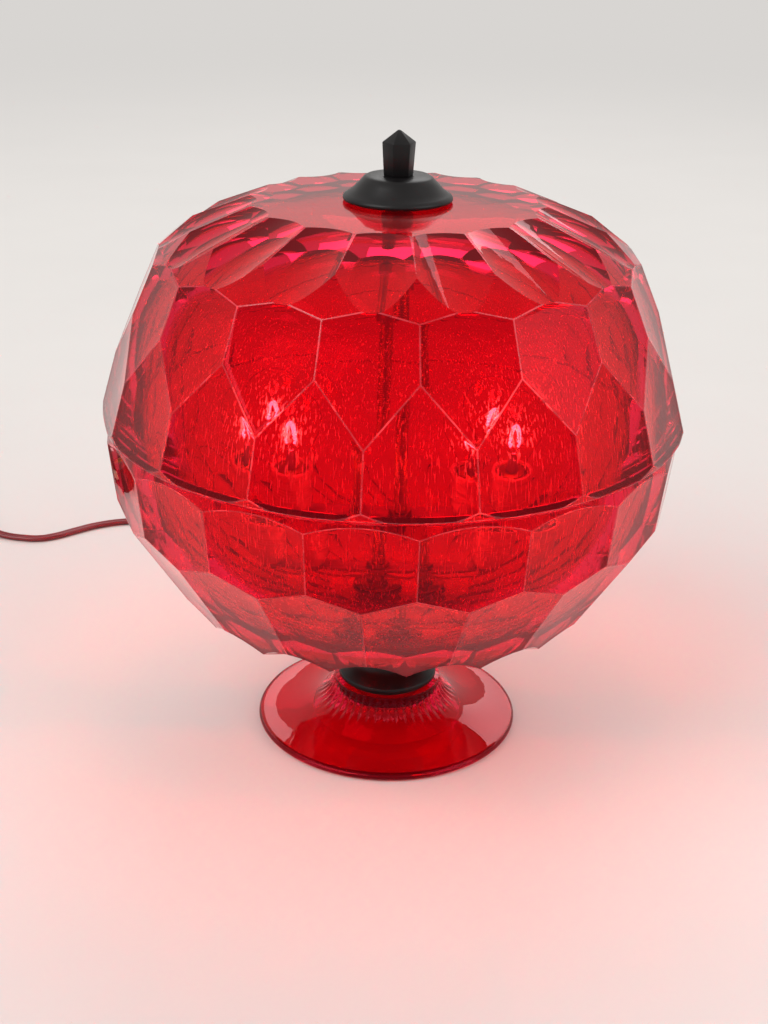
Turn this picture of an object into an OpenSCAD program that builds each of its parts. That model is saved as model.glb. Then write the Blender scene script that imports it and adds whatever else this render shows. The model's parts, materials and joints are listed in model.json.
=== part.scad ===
// Globe table lamp: two faceted glass shells clamped on one threaded pipe,
// on a flared glass foot, with two bulbs inside and a flat twin cord.
// Millimetres, +Z up. The origin is the centre of the foot's resting face,
// and the front of the lamp faces -Y.

/* [Glass globe] */
// Flat facets in each row round the globe
facet_count = 18; // [12:2:28]
// Turn of the facet pattern from the front, in degrees
facet_turn = -5; // [-10:1:10]
// Corner radius of the globe just under its seam
globe_r = 128.5; // [115:0.1:142]
// Thickness of the glass at the seam, from that corner to the hollow
glass_wall = 9.6; // [8:0.1:11.5]

/* [Upper dome] */
// Overhang of the dome's widest corners past the bowl's
dome_overhang = 1.3; // [0.5:0.1:4]
// Height of the widest ring's corners over the seam
dome_cusp_h = 5.3; // [4:0.1:7]
// Lean of the lower row of dome facets, in degrees
dome_low_lean = 16; // [13:0.1:20]
// Height over the seam where the two dome rows interlock
dome_lock_h = 28; // [24:0.1:33]
// Lean of the upper row of dome facets, in degrees
dome_high_lean = 23.8; // [20:0.1:30]
// Height over the seam of the shoulder edge
dome_shoulder_h = 75; // [66:0.1:78]
// Radius of the smooth flat round the cap, where the top flutes end
dome_flat_r = 60; // [44:0.5:70]
// Radius of the round scoop of each top flute
flute_scoop_r = 40; // [34:1:60]
// Height over the seam of the flat top
dome_top_h = 95.2; // [92:0.1:98]
// Drop of the small kite cut at each shoulder corner past the shoulder edge
kite_drop = 3; // [1:0.1:4]
// Thickness of the glass at the shoulder, measured level
shoulder_wall = 12.4; // [9:0.1:15]
// Thickness of the glass at the flat top
dome_top_wall = 6.7; // [5:0.1:9]

/* [Lower bowl] */
// Depth of the rim's corners under the seam
bowl_cusp_d = 5.8; // [4.5:0.1:8]
// Lean of the upright bowl facets, in degrees
bowl_high_lean = 6.2; // [2:0.1:9]
// Depth under the seam where the two bowl rows interlock
bowl_lock_d = 33.3; // [29:0.1:38]
// Lean of the lower bowl facets, in degrees
bowl_low_lean = 32; // [29:0.1:35]
// Depth under the seam of the lower facets' tips
bowl_tip_d = 85; // [80:0.5:90]
// Radius of the flat bottom, where the underside facets end
bowl_flat_r = 40.3; // [30:0.1:48]
// Depth under the seam of the flat bottom
bowl_bottom_d = 108; // [105:0.5:112]
// Thickness of the glass at the lower facets' tips, measured level
tip_wall = 16.9; // [13:0.1:20]
// Thickness of the glass at the bowl's bottom
bowl_bottom_wall = 8; // [6:0.5:10]

/* [Foot and neck] */
// Radius of the glass foot
foot_r = 62.7; // [58:0.1:68]
// Thickness of the foot's rim
foot_rim_t = 3.6; // [3:0.1:5]
// Height of the glass foot
foot_h = 22; // [20:0.5:26]
// Radius of the foot's flat top
foot_top_r = 25.5; // [24.5:0.1:28]
// Radius of the hollow under the foot
foot_hollow_r = 34.4; // [30:0.1:38]
// Depth of the hollow under the foot
foot_hollow_d = 14; // [12:0.5:15]
// Height of the neck between its two rings
neck_h = 26; // [22:0.5:30]
// Radius of the neck's lower rim
neck_rim_r = 23.6; // [22:0.1:24.4]
// Radius of the neck's waist
neck_waist_r = 15.5; // [14.5:0.1:18]
// Radius of the neck's upper rim
neck_top_r = 21; // [19:0.1:23]
// Wall of the hollow neck
neck_wall = 3; // [2:0.1:4]
// Thickness of the rubber rings between glass and metal
ring_t = 1; // [0.6:0.1:1.5]

/* [Pipe and hardware] */
// Outer radius of the threaded lamp pipe
pipe_r = 4.85; // [4.5:0.05:5.2]
// Bore radius of the lamp pipe
pipe_bore_r = 3.55; // [3:0.05:3.8]
// Clearance round the pipe in the glass and the plates
pipe_clear = 0.55; // [0.3:0.05:0.8]
// Gap between screwed pieces that share a thread
thread_gap = 0.05; // [0.03:0.01:0.1]
// Distance across the flats of the pipe nuts
nut_flats = 15; // [13:0.5:16]
// Height of a pipe nut
nut_h = 4; // [3:0.5:5]
// Radius of the plate that clamps the bowl
check_r = 19; // [15:0.5:24]
// Thickness of the clamping plates
check_t = 2; // [1.5:0.1:3]
// Radius of the washer under the foot
washer_r = 16; // [12:0.5:18]
// Outer radius of the reducing coupling on the pipe's top
coupling_r = 7; // [6.5:0.1:8]
// Height of the reducing coupling
coupling_h = 18; // [16:0.5:20]
// Radius of the stud that carries the finial
stud_r = 3.175; // [3:0.025:3.4]

/* [Cap and finial] */
// Radius of the cap's rim
cap_r = 23.6; // [21:0.1:26]
// Height of the cap
cap_h = 10; // [8:0.5:12]
// Radius of the cap's flat top
cap_top_r = 14; // [12:0.1:16]
// Sheet thickness of the cap
cap_wall = 1.5; // [1:0.1:2]
// Thickness of the felt ring under the cap
felt_t = 0.8; // [0.5:0.1:1.2]
// Corner radius of the finial at its base
finial_base_r = 6.4; // [6.2:0.1:7]
// Corner radius of the finial at its widest
finial_top_r = 7.3; // [7:0.1:8]
// Height of the finial's tapered sides
finial_side_h = 14; // [13:0.5:16]
// Height of the finial's pointed tip
finial_tip_h = 5; // [3:0.5:6]
// Running clearance of the finial's thread on the stud
finial_clear = 0.1; // [0.06:0.01:0.15]

/* [Sockets and bulbs] */
// Distance of each socket's axis from the pipe's axis
socket_x = 53; // [50:0.5:58]
// Length of bare pipe under the socket bar's lower nut
bar_lift = 0.6; // [0.2:0.1:8]
// Thickness of the socket bar
bar_t = 3; // [2:0.1:4]
// Width of the socket bar
bar_w = 18; // [16:0.5:22]
// Wall of a socket round its cup
socket_wall = 2.3; // [1.8:0.1:3]
// Height of a socket
socket_h = 37; // [34:0.5:40]
// Depth of a socket's cup
cup_d = 28; // [26:0.5:30]
// Thickness of the brass screw shell
shell_t = 0.5; // [0.4:0.05:0.8]
// Radius of a bulb's screw cap
bulb_cap_r = 12.9; // [12.6:0.05:13.1]
// Height of a bulb's screw cap
bulb_cap_h = 22; // [20:0.5:24]
// Greatest radius of a bulb
bulb_r = 24; // [22:0.5:25]
// Height of a bulb's glass over its cap
bulb_glass_h = 62; // [58:0.5:66]
// Wall of a bulb's glass
bulb_wall = 0.8; // [0.5:0.1:1.2]
// Gap between a bulb's tip and its socket's contact
bulb_gap = 0.3; // [0.2:0.05:0.5]
// Gap between a bulb's screw cap and the screw shell
cap_clear = 0.75; // [0.4:0.05:1]

/* [Cord] */
// Width of the flat twin cord
cord_w = 5.4; // [5:0.1:5.8]
// Thickness of the flat twin cord
cord_t = 2.7; // [2.5:0.1:2.9]
// Length of the strain relief outside the neck
relief_l = 26; // [20:0.5:28]
// Thickness of the tie round the coil
tie_t = 0.7; // [0.5:0.1:0.8]
// Width of the tie
tie_w = 8; // [6:0.5:10]
// Length of the plug's body
plug_l = 32; // [28:0.5:38]
// Width of the plug's face
plug_w = 26; // [24:0.5:30]
// Height of the plug's body
plug_h = 14; // [12:0.5:15]
// Distance between the plug's blades
blade_pitch = 12.7; // [12:0.1:13]
// Length of the switch
switch_l = 56; // [50:0.5:60]
// Width of the switch
switch_w = 24; // [22:0.5:28]
// Height of the switch
switch_h = 15; // [14:0.5:17]
// Radius of the switch's thumb wheel
wheel_r = 9.5; // [9:0.1:10.5]
// Thickness of the thumb wheel
wheel_t = 5; // [4:0.1:6]
// Running clearance of the thumb wheel on its post
wheel_clear = 0.06; // [0.03:0.01:0.1]

/* [Hidden] */
$fn = 64;

// Finishes
ruby = [0.75, 0.02, 0.05, 0.55];
black_metal = [0.05, 0.05, 0.05];
brass_tint = [0.72, 0.55, 0.27];
steel_tint = [0.7, 0.7, 0.72];
rubber_tint = [0.12, 0.12, 0.12];
bakelite = [0.09, 0.07, 0.06];
cord_tint = [0.45, 0.04, 0.06];

// Facet planes. A plane is [lean, reach]: along a facet's middle line
// the radius r and the height z keep r * cos(lean) + z * sin(lean) = reach.
step = 360 / facet_count;
corner = cos(step / 2);
function reach_mid(lean, r, z) = r * cos(lean) + z * sin(lean);
function reach_edge(lean, r, z) = reach_mid(lean, r * corner, z);
function r_mid(plane, z) = (plane[1] - z * sin(plane[0])) / cos(plane[0]);
function r_edge(plane, z) = r_mid(plane, z) / corner;

// Stack of heights from the floor to the seam between the two shells
neck_z = foot_h + ring_t;
neck_top_z = neck_z + neck_h;
seam_z = neck_top_z + ring_t + bowl_bottom_d;

// Dome rows, from the seam up
dome_r = globe_r + dome_overhang;
dome_cusp_z = seam_z + dome_cusp_h;
dome_lock_z = seam_z + dome_lock_h;
dome_shoulder_z = seam_z + dome_shoulder_h;
dome_top_z = seam_z + dome_top_h;
dome_low = [dome_low_lean, reach_edge(dome_low_lean, dome_r, dome_cusp_z)];
dome_high = [dome_high_lean, reach_mid(dome_high_lean, r_edge(dome_low, dome_lock_z), dome_lock_z)];
shoulder_r = r_mid(dome_high, dome_shoulder_z);
dome_flute_lean = atan2(shoulder_r - dome_flat_r, dome_top_z - dome_shoulder_z);
dome_flute = [dome_flute_lean, reach_mid(dome_flute_lean, shoulder_r, dome_shoulder_z)];
kite_lean = dome_high_lean + 0.65 * (dome_flute_lean - dome_high_lean);
kite_tip_z = dome_shoulder_z - kite_drop;
kite = [kite_lean, reach_mid(kite_lean, r_edge(dome_high, kite_tip_z), kite_tip_z)];

// Bowl rows, from the seam down
bowl_cusp_z = seam_z - bowl_cusp_d;
bowl_lock_z = seam_z - bowl_lock_d;
bowl_tip_z = seam_z - bowl_tip_d;
bowl_bottom_z = seam_z - bowl_bottom_d;
bowl_high = [-bowl_high_lean, reach_edge(-bowl_high_lean, globe_r, bowl_cusp_z)];
bowl_low = [-bowl_low_lean, reach_mid(-bowl_low_lean, r_edge(bowl_high, bowl_lock_z), bowl_lock_z)];
tip_r = r_mid(bowl_low, bowl_tip_z);
bowl_under_lean = atan2(tip_r * corner - bowl_flat_r, bowl_tip_z - bowl_bottom_z);
bowl_under = [-bowl_under_lean, reach_edge(-bowl_under_lean, tip_r, bowl_tip_z)];

// Seam: a thin ring lies between the two flat rims
seam_ring_t = 0.6;
rim_land = 6.6;
rim_edge = 0.9;
rim_round = 2.4;
rim_round_h = 1.6;
rim_flare = 0.1;
hollow_r = globe_r - glass_wall;
dome_rim_z = seam_z + seam_ring_t / 2;
bowl_rim_z = seam_z - seam_ring_t / 2;
bowl_rim_r = hollow_r + rim_land + rim_edge;
bowl_flare = (globe_r - bowl_rim_r) / (bowl_rim_z - bowl_cusp_z);
blank_spare = 8;
cut_span = 1.2 * globe_r;
function dome_rim_line(z) = [dome_r + rim_flare * (z - dome_cusp_z), z];
function bowl_rim_line(z) = [globe_r + bowl_flare * (bowl_cusp_z - z), z];

// Inner hollow of both shells: a rounded revolve that keeps its wall at the shoulder and the tips
dome_hollow_top = dome_top_z - dome_top_wall;
bowl_hollow_floor = bowl_bottom_z + bowl_bottom_wall;
hollow_steps = 20;
rise_power = 2.2;
shoulder_rise = (dome_shoulder_z - dome_rim_z) / (dome_hollow_top - dome_rim_z);
dome_round_power = ln(1 - pow(shoulder_rise, rise_power)) / ln((shoulder_r - shoulder_wall) / hollow_r);
tip_rise = (bowl_rim_z - bowl_tip_z) / (bowl_rim_z - bowl_hollow_floor);
bowl_round_power = ln(1 - pow(tip_rise, rise_power)) / ln((tip_r - tip_wall) / hollow_r);
function hollow_profile(z0, z1, power) = [
  for (i = [0 : hollow_steps])
    let (a = 90 * i / hollow_steps, u = sin(a))
      [hollow_r * pow(max(0, 1 - pow(u, rise_power)), 1 / power), z0 + (z1 - z0) * u]
];

// Stack of pieces on the pipe, from the foot up
hole_r = pipe_r + pipe_clear;
neck_mid_z = (neck_z + neck_top_z) / 2;
neck_plate_t = 2.5;
neck_rim_t = 2.4;
neck_hollow_r = neck_waist_r - neck_wall;
plate_z = bowl_hollow_floor;
plate_seat_h = 1;
bowl_nut_z = plate_z + plate_seat_h + check_t;
washer_z = foot_hollow_d - check_t;
foot_nut_z = washer_z - nut_h;
pipe_bottom_z = foot_nut_z - 1.5;
slot_w = 4.6;
slot_h = 6.4;
wire_exit_z = bowl_nut_z + nut_h + slot_h / 2;
bar_z = wire_exit_z + slot_h / 2 + bar_lift + nut_h;
bar_top_z = bar_z + bar_t;
coupling_top_z = dome_hollow_top - 2.5;
coupling_z = coupling_top_z - coupling_h;
pipe_grip = 10;
pipe_top_z = coupling_z + pipe_grip;
stud_z = pipe_top_z + 1;
cap_z = dome_top_z + felt_t;
finial_z = cap_z + cap_h;
finial_grip = 11;
stud_top_z = finial_z + finial_grip;
insert_wall = 1;
insert_h = finial_grip + 0.5;
felt_r = cap_r - 2.5;

// Sockets and bulbs
socket_z = bar_top_z;
socket_bead = 1;
cup_r = bulb_cap_r + cap_clear + shell_t + thread_gap;
socket_r = cup_r + socket_wall + socket_bead;
cup_z = socket_z + socket_h - cup_d;
socket_foot_r = 11;
nipple_l = 17;
nipple_z = bar_z - 6;
wire_r = 1.3;
wire_sag = 2.2;
contact_t = 1;
contact_r = 4.5;
tip_h = 3.6;
shell_lift = 3.5;
shell_z = cup_z + shell_lift;
shell_top_gap = 1.5;
shell_h = cup_d - shell_lift - shell_top_gap;
bulb_tip_z = cup_z + contact_t + bulb_gap;
bulb_cap_z = bulb_tip_z + tip_h;
bulb_glass_z = bulb_cap_z + bulb_cap_h;
bulb_collar_z = bulb_glass_z + 4;
bulb_wide_z = bulb_glass_z + bulb_glass_h - bulb_r;
bulb_neck_r = bulb_cap_r - 1;
stem_r = 4;
stem_h = 24;
filament_h = 32;
filament_half = 9;
lead_r = 0.5;
filament_r = 0.7;

// Cord: its rise to a fitting's mouth, its route and its coil
cord_z = 1.5;
fitting_z = 7;
relief_r = 4.8;
relief_tip_r = 3.4;
bushing_shank_r = 4.2;
bushing_head_r = 5.3;
bushing_head_t = 2.2;
exit_y = neck_waist_r + 0.3 + bushing_head_t + relief_l;
switch_x = -290;
switch_y = 200;
plug_x = -302;
plug_y = 53;
coil_x = -318;
coil_y = 120;
coil_r = 40;
coil_turns = 6;
turn_gap = 0.6;
layer_gap = 0.7;
coil_pitch = cord_w + turn_gap;
coil_layer = cord_t + layer_gap;
tie_lift = 0.05;
tie_clear_z = 0.3;
coil_z = tie_lift + tie_t + tie_clear_z + cord_t / 2;
coil_rings = 24;
coil_start_x = coil_x - coil_r;
switch_in_x = switch_x + switch_l / 2;
switch_out_x = switch_x - switch_l / 2;

// Route points, free stretches of the cord
lead_route = [
  [0, exit_y, neck_mid_z], [0, exit_y + 8, neck_mid_z], [0, 63, 34.4], [-1, 75, 28.6], [-4, 87.5, 19.4],
  [-9, 100, 10.4], [-16, 112.5, 4.6], [-25, 125, 1.9], [-37, 140, cord_z], [-52, 157, cord_z],
  [-70, 174, cord_z],
  [-90, 190, cord_z], [-110, 204, cord_z], [-129, 213, cord_z], [-147, 217, cord_z], [-165, 216.5, cord_z],
  [-182, 210, cord_z], [-195, 200.5, cord_z], [-205, 192.5, cord_z], [-214, 188.5, cord_z],
  [-224, 188.8, cord_z], [-236, 192, cord_z],
  [switch_in_x + 18, switch_y - 4.8, 2.6], [switch_in_x + 11, switch_y - 1.6, 5.2],
  [switch_in_x + 5, switch_y, fitting_z], [switch_in_x, switch_y, fitting_z]
];
link_route = [
  [switch_out_x, switch_y, fitting_z], [switch_out_x - 6, switch_y, fitting_z],
  [switch_out_x - 16, switch_y - 1.6, 5], [-343.5, 193.6, 2.9], [-351, 185.8, coil_z],
  [-356, 175.6, coil_z], [-357.8, 163.5, coil_z], [coil_start_x, 150, coil_z],
  [coil_start_x, 138, coil_z], [coil_start_x, coil_y + cord_w, coil_z]
];
tail_route = [
  [coil_start_x, coil_y - cord_w, coil_z + coil_layer], [coil_start_x, 109, coil_z + coil_layer],
  [-359.2, 102, 5.5], [-360.6, 94, 4], [-360.8, 85, 2.3], [-357.5, 74, cord_z], [-350, 63.5, cord_z],
  [-339, 57, cord_z], [-328, 54, 2.2], [-319, plug_y, 4.6], [-311, plug_y, 6.6],
  [plug_x - 5, plug_y, fitting_z], [plug_x, plug_y, fitting_z]
];

// Shapes that repeat
function unit(v) = v / norm(v);
function heading(route, i) = unit(route[min(i + 1, len(route) - 1)] - route[max(i - 1, 0)]);
function tube_ring(route, i, section, flat_axis) =
  let (t = heading(route, i), s = unit(cross(t, flat_axis)), u = cross(s, t))
    [for (p = section) route[i] + p[0] * s + p[1] * u];
function oval(half_w, half_t, sides, turn) = [
  for (k = [0 : sides - 1]) let (a = 360 * k / sides + turn) [half_w * cos(a), half_t * sin(a)]
];

// A closed tube of one section along a route, faces turned outwards
module tube(route, section, flat_axis = [0, 0, 1]) {
  n = len(section);
  last = len(route) - 1;
  points = [for (i = [0 : last], p = tube_ring(route, i, section, flat_axis)) p];
  sides = [
    for (i = [0 : last - 1], k = [0 : n - 1])
      let (a = i * n + k, b = i * n + (k + 1) % n)
        each [[a, b, b + n], [a, b + n, a + n]]
  ];
  start_cap = [for (k = [1 : n - 2]) [0, k + 1, k]];
  end_cap = [for (k = [1 : n - 2]) [last * n, last * n + k, last * n + k + 1]];
  polyhedron(points, concat(sides, start_cap, end_cap));
}

flat_scale = 1 / cos(22.5);
flat_section = oval(cord_w / 2 * flat_scale, cord_t / 2 * flat_scale, 8, 22.5);
wound_section = oval(cord_w / 2, cord_t / 2 / sin(60), 6, 0);
wire_section = oval(wire_r, wire_r, 8, 22.5);

module ring(r_out, r_in, z, h) {
  translate([0, 0, z]) difference() {
    cylinder(r = r_out, h = h);
    translate([0, 0, -1]) cylinder(r = r_in, h = h + 2);
  }
}

module hex_nut(z) {
  translate([0, 0, z]) difference() {
    cylinder(r = nut_flats / sqrt(3), h = nut_h, $fn = 6);
    translate([0, 0, -1]) cylinder(r = pipe_r + thread_gap, h = nut_h + 2);
  }
}

// One row of flat cuts. turn is the azimuth of the first facet's middle.
module facet_row(plane, z_mid, turn) {
  r = r_mid(plane, z_mid);
  for (k = [0 : facet_count - 1])
    rotate(turn + k * step - 90) translate([r, 0, z_mid]) rotate([0, -plane[0], 0])
      translate([0, -globe_r / 2, -cut_span / 2]) cube([cut_span, globe_r, cut_span]);
}

// One row of round scoops that run along the slopes of a row of flat cuts
module scoop_row(plane, z_mid, turn, scoop_r) {
  r = r_mid(plane, z_mid);
  for (k = [0 : facet_count - 1])
    rotate(turn + k * step - 90) translate([r, 0, z_mid]) rotate([0, -plane[0], 0])
      translate([scoop_r, 0, -cut_span / 2]) cylinder(r = scoop_r, h = cut_span, $fn = 96);
}

module at_socket(side) {
  translate([side * socket_x, 0, 0]) children();
}

// Glass foot: a broad flange that sweeps up to a flat top, hollow below
module foot() {
  slope_r = foot_r - foot_top_r;
  slope_h = foot_h - foot_rim_t;
  sweep_steps = 14;
  sweep = [
    for (i = [0 : sweep_steps])
      let (a = 90 * i / sweep_steps)
        [foot_top_r + slope_r * pow(1 - sin(a), 1.15), foot_rim_t + slope_h * pow(1 - cos(a), 1.15)]
  ];
  hollow_top_r = foot_top_r - 3.5;
  color(ruby) difference() {
    rotate_extrude($fn = 128) polygon(concat(
      [[0, 0], [foot_r - 1, 0], [foot_r, 1], [foot_r, foot_rim_t - 0.8]], sweep, [[0, foot_h]]
    ));
    translate([0, 0, -1]) cylinder(r = hole_r, h = foot_h + 2);
    rotate_extrude($fn = 128) polygon([
      [0, -1], [foot_hollow_r, -1], [foot_hollow_r, 0], [hollow_top_r + 4, foot_hollow_d * 0.55],
      [hollow_top_r, foot_hollow_d * 0.86], [hollow_top_r - 2.5, foot_hollow_d], [0, foot_hollow_d]
    ]);
  }
}

module foot_ring() { color(rubber_tint) ring(neck_rim_r - 1.5, hole_r, foot_h, ring_t); }

module foot_washer() { color(steel_tint) ring(washer_r, pipe_r + pipe_clear / 2, washer_z, check_t); }

module foot_nut() { color(brass_tint) hex_nut(foot_nut_z); }

// Hollow black metal neck, a spool with a side outlet for the cord
module neck() {
  color(black_metal) difference() {
    rotate_extrude() polygon([
      [0, neck_z], [neck_rim_r, neck_z], [neck_rim_r, neck_z + neck_rim_t],
      [neck_rim_r - 2.4, neck_z + neck_rim_t + 1.4], [neck_waist_r, neck_mid_z - 0.21 * neck_h],
      [neck_waist_r, neck_mid_z + 0.25 * neck_h], [neck_top_r - 1.6, neck_top_z - neck_rim_t - 1],
      [neck_top_r, neck_top_z - neck_rim_t], [neck_top_r, neck_top_z], [0, neck_top_z]
    ]);
    translate([0, 0, neck_z - 1]) cylinder(r = hole_r, h = neck_top_z - neck_z + 2);
    translate([0, 0, neck_z + neck_plate_t])
      cylinder(r = neck_hollow_r, h = neck_top_z - neck_z - 2 * neck_plate_t);
    translate([0, 0, neck_mid_z]) rotate([-90, 0, 0])
      cylinder(r = bushing_shank_r + 0.05, h = neck_rim_r + 1);
  }
}

module neck_ring() { color(rubber_tint) ring(neck_top_r - 1.5, hole_r, neck_top_z, ring_t); }

// Lower glass bowl: three interlocked rows of facets round a smooth hollow
module lower_bowl() {
  blank_r = globe_r + bowl_flare * blank_spare;
  color(ruby) difference() {
    rotate_extrude($fn = 128) polygon([
      [0, bowl_bottom_z], [blank_r, bowl_bottom_z], bowl_rim_line(bowl_cusp_z - blank_spare),
      [bowl_rim_r, bowl_rim_z], [0, bowl_rim_z]
    ]);
    facet_row(bowl_high, (bowl_cusp_z + bowl_lock_z) / 2, facet_turn);
    facet_row(bowl_low, (bowl_lock_z + bowl_tip_z) / 2, facet_turn + step / 2);
    facet_row(bowl_under, (bowl_tip_z + bowl_bottom_z) / 2, facet_turn);
    rotate_extrude($fn = 128) polygon(concat(
      [[0, seam_z + 1], [hollow_r, seam_z + 1]],
      hollow_profile(bowl_rim_z, bowl_hollow_floor, bowl_round_power)
    ));
    translate([0, 0, bowl_bottom_z - 1]) cylinder(r = hole_r, h = bowl_bottom_wall + 2);
    translate([0, 0, plate_z]) cylinder(r = check_r + 1, h = check_t);
  }
}

module bowl_ring() { color(rubber_tint) ring(check_r - 1, hole_r, plate_z, plate_seat_h); }

module bowl_plate() {
  color(brass_tint) ring(check_r, pipe_r + pipe_clear / 2, plate_z + plate_seat_h, check_t);
}

module bowl_nut() { color(brass_tint) hex_nut(bowl_nut_z); }

module seam_ring() {
  color([0.8, 0.75, 0.7]) ring(hollow_r + rim_land, hollow_r + 0.8, bowl_rim_z, seam_ring_t);
}

// Threaded lamp pipe with two windows for the wires
module lamp_pipe() {
  color(brass_tint) difference() {
    translate([0, 0, pipe_bottom_z]) cylinder(r = pipe_r, h = pipe_top_z - pipe_bottom_z);
    translate([0, 0, pipe_bottom_z - 1]) cylinder(r = pipe_bore_r, h = pipe_top_z - pipe_bottom_z + 2);
    translate([-slot_w / 2, 0, neck_mid_z - slot_h / 2]) cube([slot_w, 2 * pipe_r, slot_h]);
    translate([-pipe_r - 1, -slot_w / 2, wire_exit_z - slot_h / 2]) cube([2 * pipe_r + 2, slot_w, slot_h]);
  }
}

// Steel strap with round ends that carries both sockets
module socket_bar() {
  color(steel_tint) translate([0, 0, bar_z]) difference() {
    union() {
      translate([-socket_x, -bar_w / 2, 0]) cube([2 * socket_x, bar_w, bar_t]);
      for (side = [-1, 1]) at_socket(side) cylinder(r = bar_w / 2, h = bar_t);
    }
    for (side = [-1, 0, 1]) at_socket(side) translate([0, 0, -1])
      cylinder(r = pipe_r + pipe_clear / 2, h = bar_t + 2);
  }
}

module bar_nuts() {
  color(brass_tint) {
    hex_nut(bar_z - nut_h);
    hex_nut(bar_top_z);
  }
}

// Brass coupling: pipe thread below, smaller stud thread above
module top_coupling() {
  color(brass_tint) difference() {
    rotate_extrude() polygon([
      [0, coupling_z], [coupling_r - 0.8, coupling_z], [coupling_r, coupling_z + 0.8],
      [coupling_r, coupling_top_z - 3], [coupling_r - 2, coupling_top_z], [0, coupling_top_z]
    ]);
    translate([0, 0, coupling_z - 1]) cylinder(r = pipe_r + thread_gap, h = pipe_grip + 1.02);
    translate([0, 0, coupling_z]) cylinder(r = stud_r + thread_gap, h = coupling_h + 1);
  }
}

module finial_stud() {
  color(steel_tint) translate([0, 0, stud_z]) cylinder(r = stud_r, h = stud_top_z - stud_z);
}

// Upper glass dome: two interlocked rows, kites at the shoulder, long scooped flutes on top
module upper_dome() {
  blank_top_r = (r_mid(dome_flute, dome_top_z) + dome_r) / 2;
  color(ruby) difference() {
    rotate_extrude($fn = 128) polygon([
      [0, dome_rim_z], [dome_r - rim_round, dome_rim_z], dome_rim_line(dome_rim_z + rim_round_h),
      dome_rim_line(dome_cusp_z + blank_spare), dome_rim_line(dome_shoulder_z),
      [blank_top_r, dome_top_z], [0, dome_top_z]
    ]);
    facet_row(dome_low, dome_lock_z, facet_turn + step / 2);
    facet_row(dome_high, (dome_lock_z + dome_shoulder_z) / 2, facet_turn);
    scoop_row(dome_flute, (dome_shoulder_z + dome_top_z) / 2, facet_turn, flute_scoop_r);
    facet_row(kite, dome_shoulder_z, facet_turn + step / 2);
    rotate_extrude($fn = 128) polygon(concat(
      [[0, seam_z - 1], [hollow_r, seam_z - 1]],
      hollow_profile(dome_rim_z, dome_hollow_top, dome_round_power)
    ));
    translate([0, 0, dome_hollow_top - 1]) cylinder(r = hole_r, h = dome_top_wall + 2);
  }
}

module cap_felt() { color([0.3, 0.05, 0.06]) ring(felt_r, hole_r, dome_top_z, felt_t); }

// Spun black cap: a low bell with a flat top
module top_cap() {
  bell = [
    [cap_r, cap_z], [cap_r, cap_z + 1.4], [cap_r - 1.6, cap_z + 2.4], [cap_top_r + 2.8, cap_z + cap_h * 0.72],
    [cap_top_r + 0.6, cap_z + cap_h - 0.6], [cap_top_r - 0.4, cap_z + cap_h]
  ];
  color(black_metal) difference() {
    rotate_extrude() polygon(concat([[0, cap_z]], bell, [[0, cap_z + cap_h]]));
    rotate_extrude() polygon([
      [0, cap_z - 1], [cap_r - cap_wall - 1.6, cap_z - 1], [cap_r - cap_wall - 1.6, cap_z + 1],
      [cap_top_r, cap_z + cap_h - cap_wall - 1], [0, cap_z + cap_h - cap_wall - 1]
    ]);
    translate([0, 0, cap_z]) cylinder(r = stud_r + 0.4, h = cap_h + 1);
  }
}

// Six-sided finial, wider towards its pointed tip
module finial() {
  color(black_metal) difference() {
    translate([0, 0, finial_z]) rotate(10) union() {
      cylinder(r1 = finial_base_r, r2 = finial_top_r, h = finial_side_h, $fn = 6);
      translate([0, 0, finial_side_h]) cylinder(r1 = finial_top_r, r2 = 0.6, h = finial_tip_h, $fn = 6);
    }
    translate([0, 0, finial_z - 1])
      cylinder(r = stud_r + finial_clear + insert_wall + thread_gap, h = insert_h + 1.3);
  }
}

module finial_insert() {
  color(brass_tint) ring(stud_r + finial_clear + insert_wall, stud_r + finial_clear, finial_z, insert_h);
}

// Moulded socket: a cup on a narrower foot
module socket(side) {
  cup_side_r = socket_r - socket_bead;
  color(bakelite) at_socket(side) difference() {
    rotate_extrude() polygon([
      [0, socket_z], [socket_foot_r, socket_z], [socket_foot_r + 1, socket_z + 3],
      [cup_side_r, cup_z + 2], [cup_side_r, socket_z + socket_h - 5],
      [socket_r, socket_z + socket_h - 4], [socket_r, socket_z + socket_h - 0.8],
      [socket_r - 0.8, socket_z + socket_h], [0, socket_z + socket_h]
    ]);
    translate([0, 0, cup_z]) cylinder(r = cup_r, h = cup_d + 1);
    translate([0, 0, socket_z - 1]) cylinder(r = pipe_r + thread_gap, h = cup_z - socket_z - 0.5);
  }
}

module screw_shell(side) {
  color(brass_tint) at_socket(side) ring(cup_r - thread_gap, cup_r - thread_gap - shell_t, shell_z, shell_h);
}

// Brass contact strip on the cup's floor
module socket_contact(side) {
  color(brass_tint) at_socket(side) translate([0, 0, cup_z]) union() {
    cylinder(r = contact_r, h = contact_t);
    translate([0, -2, 0]) cube([cup_r - 2.5, 4, contact_t / 2]);
  }
}

module socket_nipples() {
  color(brass_tint) for (side = [-1, 1]) at_socket(side)
    ring(pipe_r, pipe_bore_r, nipple_z, min(nipple_l, cup_z - nipple_z - 1.6));
}

module socket_nuts() {
  color(brass_tint) for (side = [-1, 1]) at_socket(side) hex_nut(bar_z - nut_h);
}

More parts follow.
